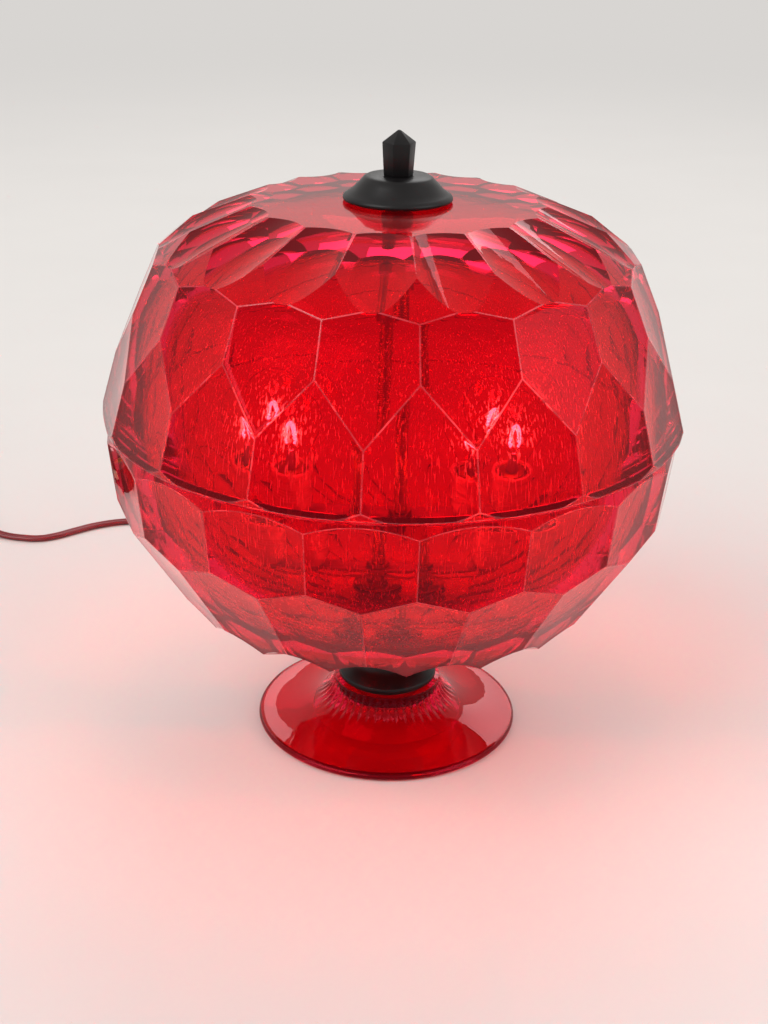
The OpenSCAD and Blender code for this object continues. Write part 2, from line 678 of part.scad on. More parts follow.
// One wire from the pipe's window to each socket's nipple
module supply_wires() {
  sag_z = wire_exit_z - wire_sag;
  in_x = pipe_r / 3;
  run = socket_x - in_x;
  color([0.85, 0.8, 0.7]) for (side = [-1, 1])
    mirror([side < 0 ? 1 : 0, 0, 0]) tube([
      [in_x, 0, wire_exit_z + wire_r / 2], [pipe_r, 0, wire_exit_z],
      [in_x + 0.2 * run, 0, wire_exit_z - wire_sag / 2], [in_x + 0.36 * run, 0, sag_z],
      [in_x + 0.7 * run, 0, sag_z - wire_r / 2], [in_x + 0.87 * run, 0, sag_z],
      [in_x + 0.96 * run, 0, sag_z + wire_sag], [socket_x, 0, nipple_z],
      [socket_x, 0, nipple_z + nipple_l / 2]
    ], wire_section, [0, 1, 0]);
}

// Pear-shaped bulb: a thin blown shell that opens into its screw cap
function bulb_outline(inset) = concat(
  [[bulb_neck_r - inset, bulb_glass_z], [bulb_neck_r - inset, bulb_collar_z]],
  [for (i = [1 : 8])
    let (u = i / 8, s = (1 - cos(180 * u)) / 2)
      [bulb_neck_r - inset + (bulb_r - bulb_neck_r) * s, bulb_collar_z + (bulb_wide_z - bulb_collar_z) * u]],
  [for (i = [1 : 10])
    let (a = 9 * i)
      [(bulb_r - inset) * cos(a), bulb_wide_z + (bulb_r - inset) * sin(a)]]
);

module bulb_glass(side) {
  color([1, 0.85, 0.6, 0.5]) at_socket(side) rotate_extrude() difference() {
    polygon(concat([[0, bulb_glass_z]], bulb_outline(0)));
    polygon(concat(
      [[0, bulb_glass_z - 1], [bulb_neck_r - bulb_wall, bulb_glass_z - 1]], bulb_outline(bulb_wall)
    ));
  }
}

module bulb_cap(side) {
  color(brass_tint) at_socket(side) rotate_extrude() polygon([
    [0, bulb_cap_z], [contact_r + 3, bulb_cap_z], [bulb_cap_r - 0.8, bulb_cap_z + 3],
    [bulb_cap_r, bulb_cap_z + 4], [bulb_cap_r, bulb_glass_z - 1], [bulb_cap_r - 0.6, bulb_glass_z],
    [0, bulb_glass_z]
  ]);
}

module bulb_contact(side) {
  color(brass_tint) at_socket(side) rotate_extrude() polygon([
    [0, bulb_tip_z], [contact_r - 1.5, bulb_tip_z], [contact_r, bulb_tip_z + 1.2],
    [contact_r + 1, bulb_cap_z], [0, bulb_cap_z]
  ]);
}

// Glass stem, two support wires and the filament between them
module bulb_mount(side) {
  stem_top = bulb_glass_z + stem_h;
  filament_z = bulb_glass_z + filament_h;
  lead_run = [filament_half - 1.5, 0, filament_h - stem_h + 3];
  color([1, 0.8, 0.4]) at_socket(side) union() {
    translate([0, 0, bulb_glass_z]) cylinder(r1 = stem_r + 2, r2 = stem_r - 1.5, h = stem_h);
    for (s = [-1, 1]) mirror([s < 0 ? 1 : 0, 0, 0]) translate([1.5, 0, stem_top - 3])
      rotate([0, atan2(lead_run[0], lead_run[2]), 0])
        cylinder(r = lead_r, h = norm(lead_run) + 0.3, $fn = 16);
    translate([-filament_half, 0, filament_z]) rotate([0, 90, 0])
      cylinder(r = filament_r, h = 2 * filament_half, $fn = 16);
  }
}

// Rubber bushing and tapered strain relief in the neck's side outlet
module cord_bushing() {
  head_y = neck_waist_r + 0.3;
  color(rubber_tint) translate([0, 0, neck_mid_z]) rotate([-90, 0, 0]) difference() {
    union() {
      translate([0, 0, neck_hollow_r + 0.4]) cylinder(r = bushing_shank_r, h = head_y - neck_hollow_r);
      translate([0, 0, head_y]) cylinder(r = bushing_head_r, h = bushing_head_t);
      translate([0, 0, head_y + bushing_head_t]) cylinder(r1 = relief_r, r2 = relief_tip_r, h = relief_l);
    }
    translate([-cord_w / 2, -cord_t / 2, neck_hollow_r - 1])
      cube([cord_w, cord_t, head_y - neck_hollow_r + bushing_head_t]);
  }
}

module cord_lead() { color(cord_tint) tube(lead_route, flat_section); }

module cord_link() { color(cord_tint) tube(link_route, flat_section); }

module cord_tail() { color(cord_tint) tube(tail_route, flat_section); }

// Coil: in along the floor, up a layer at the middle, and out again on top
function ease(u) = let (v = min(1, max(0, u))) v * v * (3 - 2 * v);
function coil_point(t) =
  let (
    inward = coil_turns / 2 - abs(t - coil_turns / 2),
    r = coil_r - coil_pitch * inward,
    a = 180 + 360 * t,
    z = coil_z + coil_layer * ease((t - coil_turns / 2 + 0.25) / 0.5)
  )
  [coil_x + r * cos(a), coil_y + r * sin(a), z];
coil_route = concat(
  [[coil_start_x, coil_y + cord_w, coil_z]],
  [for (i = [0 : coil_turns * coil_rings]) coil_point(i / coil_rings)],
  [[coil_start_x, coil_y - cord_w, coil_z + coil_layer]]
);

// Least distance between points of the tube half a loop or more apart
function coil_gap(rings) = min([
  for (i = [0 : len(rings) - 1], j = [i + coil_rings / 2 : 1 : len(rings) - 1])
    if (abs((j - i) % coil_rings - coil_rings / 2) >= coil_rings / 2 - 2)
      min([for (p = rings[i], q = rings[j]) norm(p - q)])
]);

module cord_coil() {
  rings = [for (i = [0 : len(coil_route) - 1]) tube_ring(coil_route, i, wound_section, [0, 0, 1])];
  echo(str("cord coil: least gap to itself ", coil_gap(rings), " mm"));
  color(cord_tint) tube(coil_route, wound_section);
}

// Tie round the coil's turns, on the side away from its ends
module cord_tie() {
  tie_clear = 0.9;
  turn_out = coil_r - coil_pitch / 2;
  turn_in = turn_out - coil_pitch * (coil_turns / 2 - 1);
  x0 = turn_in - cord_w / 2 - tie_clear;
  x1 = turn_out + cord_w / 2 + tie_clear;
  z0 = coil_z - cord_t / 2 - tie_clear_z;
  z1 = coil_z + coil_layer + cord_t / 2 + tie_clear_z;
  color(rubber_tint) translate([coil_x, coil_y, 0]) difference() {
    translate([x0 - tie_t, -tie_w / 2, z0 - tie_t]) cube([x1 - x0 + 2 * tie_t, tie_w, z1 - z0 + 2 * tie_t]);
    translate([x0, -tie_w / 2 - 1, z0]) cube([x1 - x0, tie_w + 2, z1 - z0]);
  }
}

// Moulded two-blade plug, narrow at the cord, with grip grooves across its top
module plug_body() {
  half_plan = [
    [0, 5], [plug_l * 0.35, 5.6], [plug_l * 0.62, plug_w / 2 - 2.5], [plug_l * 0.72, plug_w / 2],
    [plug_l, plug_w / 2]
  ];
  other_half = [for (i = [len(half_plan) - 1 : -1 : 0]) [half_plan[i][0], -half_plan[i][1]]];
  groove_w = 1.2;
  groove_d = 0.6;
  groove_pitch = 2.4;
  color(bakelite) translate([plug_x, plug_y, 0]) difference() {
    intersection() {
      linear_extrude(plug_h) polygon(concat(half_plan, other_half));
      rotate([90, 0, 0]) linear_extrude(plug_w + 2, center = true) polygon([
        [0, fitting_z - 4.5], [plug_l * 0.6, 0.6], [plug_l * 0.7, 0], [plug_l, 0], [plug_l, plug_h],
        [plug_l * 0.7, plug_h], [plug_l * 0.6, plug_h - 0.6], [0, fitting_z + 4.5]
      ]);
    }
    for (i = [0 : 2]) translate([plug_l * 0.72 + i * groove_pitch, -plug_w, plug_h - groove_d])
      cube([groove_w, 2 * plug_w, 2 * groove_d]);
  }
}

module plug_blades() {
  blade_l = 16.5;
  blade_w = 6.35;
  blade_t = 1.5;
  color(brass_tint) for (s = [-1, 1])
    translate([plug_x + plug_l, plug_y + s * blade_pitch / 2 - blade_t / 2, fitting_z - blade_w / 2])
      cube([blade_l, blade_t, blade_w]);
}

// Cord switch: two halves round a thumb wheel that shows at one side
switch_split = 7.6;
wheel_show = 3;
wheel_y = wheel_r - wheel_show - switch_w / 2;
wheel_z = switch_split - wheel_t / 2;
post_r = 2;
pocket_gap = 0.35;

module switch_plan(h) {
  half = switch_w / 2;
  neck_half = 5.5;
  linear_extrude(h) union() {
    intersection() {
      circle(r = switch_l * 0.42);
      square([switch_l, switch_w], center = true);
    }
    square([switch_l, 2 * neck_half], center = true);
  }
}

module wheel_pocket() {
  translate([0, wheel_y, wheel_z - pocket_gap]) cylinder(r = wheel_r + 0.5, h = wheel_t + 2 * pocket_gap);
}

module at_switch() {
  translate([switch_x, switch_y, 0]) children();
}

screw_x = 15;
screw_r = 1.5;

module switch_base() {
  color(bakelite) at_switch() difference() {
    union() {
      difference() {
        switch_plan(switch_split);
        wheel_pocket();
      }
      translate([0, wheel_y, 1]) cylinder(r = post_r, h = wheel_z + wheel_t - 1);
    }
    translate([screw_x, 0, 2]) cylinder(r = screw_r + thread_gap, h = switch_h);
  }
}

module switch_cover() {
  color(bakelite) at_switch() difference() {
    translate([0, 0, switch_split]) switch_plan(switch_h - switch_split);
    wheel_pocket();
    translate([screw_x, 0, 2]) cylinder(r = screw_r + thread_gap, h = switch_h);
    translate([screw_x, 0, switch_h - 1.6]) cylinder(r = 2 * screw_r + 0.2, h = 3);
  }
}

module switch_wheel() {
  color([0.85, 0.8, 0.7]) at_switch() translate([0, wheel_y, 0])
    ring(wheel_r, post_r + wheel_clear, wheel_z, wheel_t);
}

module switch_screw() {
  color(brass_tint) at_switch() translate([screw_x, 0, 0]) difference() {
    union() {
      translate([0, 0, 3]) cylinder(r = screw_r, h = switch_h - 4.5);
      translate([0, 0, switch_h - 1.6]) cylinder(r = 2 * screw_r, h = 1.4);
    }
    translate([-4, -0.4, switch_h - 0.8]) cube([8, 0.8, 2]);
  }
}

foot();
foot_ring();
foot_washer();
foot_nut();
neck();
neck_ring();
lower_bowl();
bowl_ring();
bowl_plate();
bowl_nut();
seam_ring();
lamp_pipe();
socket_bar();
bar_nuts();
top_coupling();
finial_stud();
upper_dome();
cap_felt();
top_cap();
finial();
finial_insert();
socket(-1);  // socket_left
socket(1);  // socket_right
screw_shell(-1);  // screw_shell_left
screw_shell(1);  // screw_shell_right
socket_contact(-1);  // socket_contact_left
socket_contact(1);  // socket_contact_right
socket_nipples();
socket_nuts();
supply_wires();
bulb_glass(-1);  // bulb_glass_left
bulb_cap(-1);  // bulb_cap_left
bulb_contact(-1);  // bulb_contact_left
bulb_mount(-1);  // bulb_mount_left
bulb_glass(1);  // bulb_glass_right
bulb_cap(1);  // bulb_cap_right
bulb_contact(1);  // bulb_contact_right
bulb_mount(1);  // bulb_mount_right
cord_bushing();
cord_lead();
cord_link();
cord_coil();
cord_tail();
cord_tie();
plug_body();
plug_blades();
switch_base();
switch_cover();
switch_wheel();
switch_screw();
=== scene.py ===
import json
import math

import bmesh
import bpy
from mathutils import Matrix, Vector

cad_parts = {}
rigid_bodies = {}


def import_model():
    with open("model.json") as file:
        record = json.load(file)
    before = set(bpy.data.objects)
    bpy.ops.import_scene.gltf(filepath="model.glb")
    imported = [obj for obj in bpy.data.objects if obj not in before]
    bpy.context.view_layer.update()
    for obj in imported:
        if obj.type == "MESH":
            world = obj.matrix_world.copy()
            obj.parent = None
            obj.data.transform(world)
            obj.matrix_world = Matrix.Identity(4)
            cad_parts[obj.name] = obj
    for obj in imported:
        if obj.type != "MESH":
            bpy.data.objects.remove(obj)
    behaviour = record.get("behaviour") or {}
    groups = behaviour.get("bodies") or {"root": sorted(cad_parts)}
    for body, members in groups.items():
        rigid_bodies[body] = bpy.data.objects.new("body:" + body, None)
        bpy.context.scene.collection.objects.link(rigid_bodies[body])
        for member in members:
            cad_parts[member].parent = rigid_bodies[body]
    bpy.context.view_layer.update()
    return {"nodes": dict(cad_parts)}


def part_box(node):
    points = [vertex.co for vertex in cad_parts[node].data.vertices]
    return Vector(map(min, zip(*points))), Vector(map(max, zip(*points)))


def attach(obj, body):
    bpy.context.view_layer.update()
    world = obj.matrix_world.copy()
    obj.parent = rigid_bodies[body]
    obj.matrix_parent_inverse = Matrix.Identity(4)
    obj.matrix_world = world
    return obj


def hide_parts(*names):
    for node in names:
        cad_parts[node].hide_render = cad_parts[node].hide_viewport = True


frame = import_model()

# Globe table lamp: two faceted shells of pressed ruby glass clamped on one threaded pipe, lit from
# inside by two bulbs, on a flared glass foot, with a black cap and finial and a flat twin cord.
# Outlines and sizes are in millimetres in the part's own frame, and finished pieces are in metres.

MM = 0.001


# Colours and nodes

def linear(code):
    """A colour from its sRGB hex code, as linear red, green, blue and alpha."""
    parts = [int(code[i:i + 2], 16) / 255 for i in (0, 2, 4)]
    return [p / 12.92 if p <= 0.04045 else ((p + 0.055) / 1.055) ** 2.4 for p in parts] + [1.0]


def add(tree, kind, inputs=(), **settings):
    """Adds a node. settings are its own properties; inputs are sockets, each a value or an output to link."""
    made = tree.nodes.new(kind)
    for name, value in settings.items():
        setattr(made, name, value)
    for name, value in dict(inputs).items():
        if isinstance(value, bpy.types.NodeSocket):
            tree.links.new(value, made.inputs[name])
        else:
            made.inputs[name].default_value = value
    return made


def new_material(name):
    """An empty material, its node tree, and the place on the piece as an output of that tree."""
    material = bpy.data.materials.new(name)
    material.use_nodes = True
    tree = material.node_tree
    tree.nodes.clear()
    return material, tree, add(tree, "ShaderNodeTexCoord").outputs["Object"]


def per_metre(size_mm):
    """The scale of a pattern whose features are this many millimetres across."""
    return 1 / (size_mm * MM)


def noise(tree, where, size_mm, detail, roughness=0.5):
    """Clouds of this size, as an output from 0 to 1."""
    return add(tree, "ShaderNodeTexNoise", {
        "Vector": where, "Scale": per_metre(size_mm), "Detail": detail, "Roughness": roughness,
    }).outputs["Fac"]


def calc(tree, operation, *values):
    """A sum or the like of values, each a number or an output."""
    return add(tree, "ShaderNodeMath", dict(enumerate(values)), operation=operation).outputs["Value"]


def spread(tree, value, low, high, start=0.0, end=1.0):
    """Runs from low to high while value runs from start to end."""
    return add(tree, "ShaderNodeMapRange", {
        "Value": value, "From Min": start, "From Max": end, "To Min": low, "To Max": high,
    }).outputs["Result"]


def between(tree, factor, dark, light):
    """A colour between two tones."""
    return add(tree, "ShaderNodeMix", {
        "Factor": factor, 6: linear(dark), 7: linear(light),
    }, data_type="RGBA").outputs[2]


def bumped(tree, height, depth_mm, strength=1.0):
    """The normal of a surface that a pattern raises by up to this many millimetres."""
    return add(tree, "ShaderNodeBump", {
        "Height": height, "Strength": strength, "Distance": depth_mm * MM,
    }).outputs["Normal"]


def principled(tree, inputs):
    """A surface with these inputs."""
    return add(tree, "ShaderNodeBsdfPrincipled", inputs).outputs["BSDF"]


def mixed(tree, share, first, second):
    """One shader that gives way to another as share goes from 0 to 1."""
    return add(tree, "ShaderNodeMixShader", {0: share, 1: first, 2: second}).outputs["Shader"]


def show(tree, shader):
    """Ends a material's tree with its shader."""
    add(tree, "ShaderNodeOutputMaterial", {"Surface": shader})


# Materials

GLASS_IOR = 1.52
# Light bends little on its way through the thin envelope of a bulb
BULB_IOR = 1.25
PLASTIC_IOR = 1.5
VINYL_IOR = 1.53
RED_SHADOW = "D8384C"
WARM_SHADOW = "FFF0DC"


def through_light(tree, shader, tint):
    """Lets lamps shine through a clear piece, which then leaves a shadow of this tint."""
    tinted = add(tree, "ShaderNodeBsdfTransparent", {"Color": linear(tint)}).outputs["BSDF"]
    shadow = add(tree, "ShaderNodeLightPath").outputs["Is Shadow Ray"]
    show(tree, mixed(tree, shadow, shader, tinted))


def ruby_glass(name, marks_across, marks_mm, haze, share):
    """Soda glass coloured through with red and pressed in a mould: clear, deep red and smooth, with a slow
    ripple where the hot glass met the iron. Its fine marks are this much longer across than up, and haze is
    how rough they are; share is the part of the surface that they leave clear."""
    material, tree, where = new_material(name)
    ripple = noise(tree, where, 14, 2.0, roughness=0.6)
    stretch = {"Vector": where, "Scale": (1.0, 1.0, marks_across)}
    drawn = add(tree, "ShaderNodeMapping", stretch).outputs["Vector"]
    marks = noise(tree, drawn, marks_mm, 2.0)
    # Level faces, such as the flat top, are marked less than upright ones
    normal = add(tree, "ShaderNodeNewGeometry").outputs["Normal"]
    upright = add(tree, "ShaderNodeSeparateXYZ", {"Vector": normal}).outputs["Z"]
    spared = spread(tree, calc(tree, "ABSOLUTE", upright), 0.0, 0.2, start=0.6, end=0.95)
    worn = spread(tree, calc(tree, "SUBTRACT", marks, spared), 0.0, 1.0, start=share, end=share + 0.1)
    # The faint red emission paints a glow into the glass, though the glass gives no light of its own
    glass = principled(tree, {
        "Base Color": between(tree, worn, "E4163A", "FA4A60"), "Roughness": spread(tree, worn, 0.0, haze),
        "IOR": GLASS_IOR, "Transmission Weight": 1.0,
        "Specular IOR Level": 0.06, "Specular Tint": linear("FF5068"),
        "Emission Color": linear("E81434"), "Emission Strength": 0.025,
        "Normal": bumped(tree, ripple, 0.05),
    })
    through_light(tree, glass, RED_SHADOW)
    return material


def ridge_with_painted_highlight():
    """The rounded ridges between the facets: the same glass, scuffed by handling, with a painted highlight:
    the ridges are partly matt and turn a paler pink where they are most scuffed, so that they show as fine
    pink lines as though they caught the light."""
    material, tree, where = new_material("ruby_glass_scuffed_ridge_painted_highlight")
    scuff_highlight_mask = spread(tree, noise(tree, where, 9, 3.0), 0.0, 1.0, start=0.4, end=0.68)
    # Painted highlight: the pale pink tone and the part of the ridge that is not clear stand in for light
    # that real ridges catch; the roughness is the real scuffing
    glass = principled(tree, {
        "Base Color": between(tree, scuff_highlight_mask, "DC1834", "FA5068"), "Roughness": spread(tree, scuff_highlight_mask, 0.1, 0.5),
        "IOR": GLASS_IOR, "Transmission Weight": 0.75, "Specular IOR Level": 0.2,
    })
    through_light(tree, glass, RED_SHADOW)
    return material


def clear_bulb_glass():
    """Thin blown lamp glass, clear and very smooth, with a faint ripple from the mould."""
    material, tree, where = new_material("clear_blown_bulb_glass")
    glass = principled(tree, {
        "Base Color": linear("FFF6EA"), "Roughness": 0.02, "IOR": BULB_IOR, "Transmission Weight": 1.0,
        "Normal": bumped(tree, noise(tree, where, 9, 1.0), 0.06),
    })
    through_light(tree, glass, WARM_SHADOW)
    return material


def glowing_tungsten():
    """Coiled tungsten wire at white heat: it gives light of its own and shows no surface."""
    material, tree, where = new_material("glowing_tungsten_filament")
    bands = {"Vector": where, "Scale": per_metre(9)}
    turns = add(tree, "ShaderNodeTexWave", bands, bands_direction="X").outputs["Fac"]
    wire = principled(tree, {
        "Base Color": linear("FFE0B0"), "Roughness": 0.5,
        "Emission Color": linear("FFF0A0"), "Emission Strength": spread(tree, turns, 620.0, 880.0),
    })
    show(tree, wire)
    return material


def satin_black_metal():
    """Spun and cast brass under baked black lacquer: near black, satin, with a fine grain of dust in the
    lacquer and rubbed, slightly shinier patches."""
    material, tree, where = new_material("satin_black_lacquered_metal")
    rub = noise(tree, where, 9, 4.0)
    dust = noise(tree, where, 0.5, 2.0)
    lacquer = principled(tree, {
        "Base Color": between(tree, rub, "070607", "141112"), "Roughness": spread(tree, rub, 0.26, 0.48),
        "IOR": PLASTIC_IOR, "Specular IOR Level": 0.28, "Normal": bumped(tree, dust, 0.05, strength=0.2),
    })
    show(tree, lacquer)
    return material


def metal(name, dark, light, gloss, grain_mm):
    """A bare metal between two tones, with tarnish in soft clouds and a fine turned grain. gloss is its
    roughness where it is bright and where it is tarnished."""
    material, tree, where = new_material(name)
    clouds = noise(tree, where, 12, 5.0)
    grain = noise(tree, where, grain_mm, 2.0)
    bright, tarnished = gloss
    bare = principled(tree, {
        "Base Color": between(tree, clouds, dark, light),
        "Roughness": spread(tree, clouds, tarnished, bright),
        "Metallic": 1.0, "Normal": bumped(tree, grain, 0.04, strength=0.15),
    })
    show(tree, bare)
    return material


def moulded(name, dark, light, gloss, grain_mm, depth_mm):
    """A moulded or felted surface between two tones: soft clouds of shade and a grain of the given size and
    depth. gloss is its roughness from the dark to the light tone."""
    material, tree, where = new_material(name)
    clouds = noise(tree, where, 18, 4.0)
    grain = noise(tree, where, grain_mm, 3.0)
    skin = principled(tree, {
        "Base Color": between(tree, clouds, dark, light), "Roughness": spread(tree, clouds, *gloss),
        "IOR": PLASTIC_IOR, "Normal": bumped(tree, grain, depth_mm, strength=0.4),
    })
    show(tree, skin)
    return material


def cord_vinyl():
    """Extruded soft vinyl, dark red and slightly translucent: glossy, with soft clouds of a paler red where
    the jacket is thin."""
    material, tree, where = new_material("extruded_red_vinyl")
    clouds = noise(tree, where, 30, 3.0)
    jacket = principled(tree, {
        "Base Color": between(tree, clouds, "5A0A12", "8A1420"), "Roughness": spread(tree, clouds, 0.22, 0.4),
        "IOR": VINYL_IOR, "Subsurface Weight": 0.15, "Subsurface Radius": (0.002, 0.0004, 0.0004),
        "Subsurface Scale": 1.0,
    })
    show(tree, jacket)
    return material


# The facets are scuffed along the way that they were wiped; the inside keeps the plunger's drawn marks
ruby = ruby_glass("pressed_ruby_glass", marks_across=3.0, marks_mm=1.3, haze=0.14, share=0.66)
ruby_inside = ruby_glass("ruby_glass_plunger_side", marks_across=0.1, marks_mm=0.8, haze=0.36, share=0.53)
ruby_ridge = ridge_with_painted_highlight()
bulb_glass = clear_bulb_glass()
tungsten = glowing_tungsten()
black_metal = satin_black_metal()
# Drawn and turned brass, dulled by age
brass = metal("aged_turned_brass", "7A5A28", "C49A52", (0.22, 0.42), 0.6)
# Sheet steel with bright zinc plating
zinc = metal("zinc_plated_steel", "8E9094", "C4C6C8", (0.25, 0.4), 0.8)
# Black rubber, moulded, dull
rubber = moulded("moulded_black_rubber", "0E0E0E", "1C1B1A", (0.55, 0.75), 0.7, 0.05)
# Dark vinyl plug and switch mouldings
fitting = moulded("moulded_brown_vinyl", "1B0E0C", "2E1714", (0.35, 0.5), 0.9, 0.04)
# Socket bodies, white glazed porcelain
porcelain = moulded("glazed_white_porcelain", "DAD5CA", "EEEAE1", (0.08, 0.2), 2.0, 0.02)
# Urea moulding, ivory
ivory = moulded("ivory_urea_moulding", "CDBF9F", "E4D8BC", (0.3, 0.42), 1.0, 0.02)
# Pressed wool felt, dark red, fibres drawn coarse enough to show
felt = moulded("pressed_wool_felt", "3A0D10", "561A1D", (0.9, 1.0), 0.8, 0.3)
# Soft clear vinyl gasket, clouded
gasket = moulded("clouded_vinyl_gasket", "B9A9A0", "D6CAC2", (0.4, 0.55), 1.5, 0.02)
# Cream vinyl of the wires inside the lamp
wire_jacket = moulded("cream_wire_vinyl", "C8BA98", "DDD2B4", (0.35, 0.5), 1.0, 0.02)
vinyl = cord_vinyl()


# Pieces

# Points closer than this are one
WELD = 0.001
# Degrees past which the rings of a turned piece and the edges of a CAD node are rounded
SHARP_RING = 32
SHARP_EDGE = 34
# CAD faces within this angle of each other are one
FLAT_WITHIN = math.radians(0.6)


def scaled(bm, factor):
    """Scales a shape, from millimetres to metres or back."""
    bmesh.ops.scale(bm, vec=Vector((factor, factor, factor)), verts=bm.verts)


def placed(name, data):
    """A new object of this data, put into the scene."""
    obj = bpy.data.objects.new(name, data)
    bpy.context.scene.collection.objects.link(obj)
    return obj


def take_mesh(bm, obj):
    """Adds an object's mesh to a bmesh, as its modifiers or its bevel leave it."""
    bpy.context.view_layer.update()
    mesh = bpy.data.meshes.new_from_object(obj.evaluated_get(bpy.context.evaluated_depsgraph_get()))
    bm.from_mesh(mesh)
    bpy.data.meshes.remove(mesh)


def piece(name, bm, body, material, replaces=(), smooth=40):
    """Makes an object of a bmesh in millimetres. Edges sharper than smooth degrees stay sharp."""
    for edge in bm.edges:
        edge.smooth = len(edge.link_faces) == 2 and edge.calc_face_angle(0) < math.radians(smooth)
    for face in bm.faces:
        face.smooth = True
    scaled(bm, MM)
    mesh = bpy.data.meshes.new(name)
    bm.to_mesh(mesh)
    bm.free()
    mesh.materials.append(material)
    obj = placed(name, mesh)
    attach(obj, body)
    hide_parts(*replaces)
    return obj


def clean(bm):
    """Merges doubles and turns all faces outwards."""
    bmesh.ops.remove_doubles(bm, verts=bm.verts, dist=WELD)
    bmesh.ops.recalc_face_normals(bm, faces=bm.faces)


def soften(bm, width, over, segments=2, leave=()):
    """Rounds every edge sharper than over degrees, apart from those of the faces to leave, and gives the
    faces of the rounding."""
    sharp = [
        e for e in bm.edges
        if len(e.link_faces) == 2 and e.calc_face_angle(0) > math.radians(over)
        and not any(f in leave for f in e.link_faces)
    ]
    return bmesh.ops.bevel(
        bm, geom=sharp, offset=width, affect="EDGES", segments=segments, profile=0.5, material=-1,
        clamp_overlap=True,
    )["faces"]


def lathe(bm, outline, segments=96, closed=True):
    """Spins an outline of (radius, height) points round the Z axis."""
    points = [bm.verts.new((r, 0, z)) for r, z in outline]
    pairs = list(zip(points, points[1:]))
    if closed:
        pairs.append((points[-1], points[0]))
    edges = [bm.edges.new(pair) for pair in pairs]
    bmesh.ops.spin(
        bm, geom=points + edges, cent=(0, 0, 0), axis=(0, 0, 1), angle=math.tau, steps=segments,
        use_merge=True,
    )


def turned(outline, segments=96, closed=True, round_mm=0.0):
    """A turned solid, with its sharp rings rounded."""
    bm = bmesh.new()
    lathe(bm, outline, segments, closed)
    clean(bm)
    if round_mm:
        soften(bm, round_mm, SHARP_RING)
    return bm


def arc(centre_r, centre_z, radius, start, end, steps):
    """Points of an arc in an outline, from one angle to another in degrees."""
    angles = [math.radians(start + (end - start) * i / steps) for i in range(steps + 1)]
    return [(centre_r + radius * math.cos(a), centre_z + radius * math.sin(a)) for a in angles]


def span(node):
    """The lowest and highest corner of a CAD node in millimetres."""
    low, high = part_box(node)
    return low / MM, high / MM


def rounded_copy(name, node, body, material, width=0.3, smooth=40):
    """A CAD node's own shape with its edges rounded as a real moulding's or casting's are."""
    bm = bmesh.new()
    bm.from_mesh(frame["nodes"][node].data)
    scaled(bm, 1 / MM)
    bmesh.ops.remove_doubles(bm, verts=bm.verts, dist=2 * WELD)
    bmesh.ops.dissolve_limit(bm, angle_limit=FLAT_WITHIN, verts=bm.verts, edges=bm.edges)
    soften(bm, width, SHARP_EDGE)
    return piece(name, bm, body, material, (node,), smooth)


def dress(node, material):
    """Gives a CAD node that keeps its mesh its finish."""
    materials = frame["nodes"][node].data.materials
    materials.clear()
    materials.append(material)


# Camera, at the photograph's place and angle

LENS_MM = 53.0
SENSOR_MM = 36.0
NEAR_CLIP = 0.02
EYE = Vector((0.0, -643.7, 391.9)) * MM
LOOK = Vector((-0.00447, 0.91467, -0.40418))
UP = Vector((-0.02274, 0.40399, 0.91448))

camera_data = bpy.data.cameras.new("camera")
camera_data.lens = LENS_MM
camera_data.sensor_width = SENSOR_MM
camera_data.clip_start = NEAR_CLIP
camera = placed("camera", camera_data)
across = LOOK.cross(UP).normalized()
upward = across.cross(LOOK).normalized()
camera.matrix_world = Matrix.Translation(EYE) @ Matrix((across, upward, -LOOK)).transposed().to_4x4()
bpy.context.scene.camera = camera


# Flat twin cord

CORD_W = 5.4
CORD_T = 2.7
CORD_WEB = 1.3
# Heights of the cord's middle on the floor, in its fittings and in the coil
CORD_Z = 1.5
FITTING_Z = 7.0
COIL_Z = 2.4
COIL_LAYER = 3.4
COIL_CENTRE = (-318.0, 120.0)
COIL_R = 40.0
COIL_PITCH = 6.0
COIL_TURNS = 6
COIL_RINGS = 24
COIL_START_X = COIL_CENTRE[0] - COIL_R
# The part of a turn in which the cord climbs to the upper layer
CLIMB_TURNS = 0.5
# How far the cord's ends reach into the fittings
TUCK = 3.0
CORE_STEPS = 9
CURVE_STEPS = 5
bushing_low, bushing_high = span("cord_bushing")
relief_end = bushing_high.y
outlet_z = (bushing_low.z + bushing_high.z) / 2
switch_low, switch_high = span("switch_base")
switch_y = (switch_low.y + switch_high.y) / 2
plug_low, plug_high = span("plug_body")
plug_y = (plug_low.y + plug_high.y) / 2

lead_route = [
    (0, relief_end - TUCK, outlet_z), (0, relief_end + 8, outlet_z), (0, 63, 34.4), (-1, 75, 28.6),
    (-4, 87.5, 19.4), (-9, 100, 10.4), (-16, 112.5, 4.6), (-25, 125, 1.9), (-37, 140, CORD_Z),
    (-52, 157, CORD_Z), (-70, 174, CORD_Z), (-90, 190, CORD_Z), (-110, 204, CORD_Z), (-129, 213, CORD_Z),
    (-147, 217, CORD_Z), (-165, 216.5, CORD_Z), (-182, 210, CORD_Z), (-195, 200.5, CORD_Z),
    (-205, 192.5, CORD_Z), (-214, 188.5, CORD_Z), (-224, 188.8, CORD_Z), (-236, 192, CORD_Z),
    (switch_high.x + 18, switch_y - 4.8, 2.6), (switch_high.x + 11, switch_y - 1.6, 5.2),
    (switch_high.x + 5, switch_y, FITTING_Z), (switch_high.x - TUCK, switch_y, FITTING_Z),
]
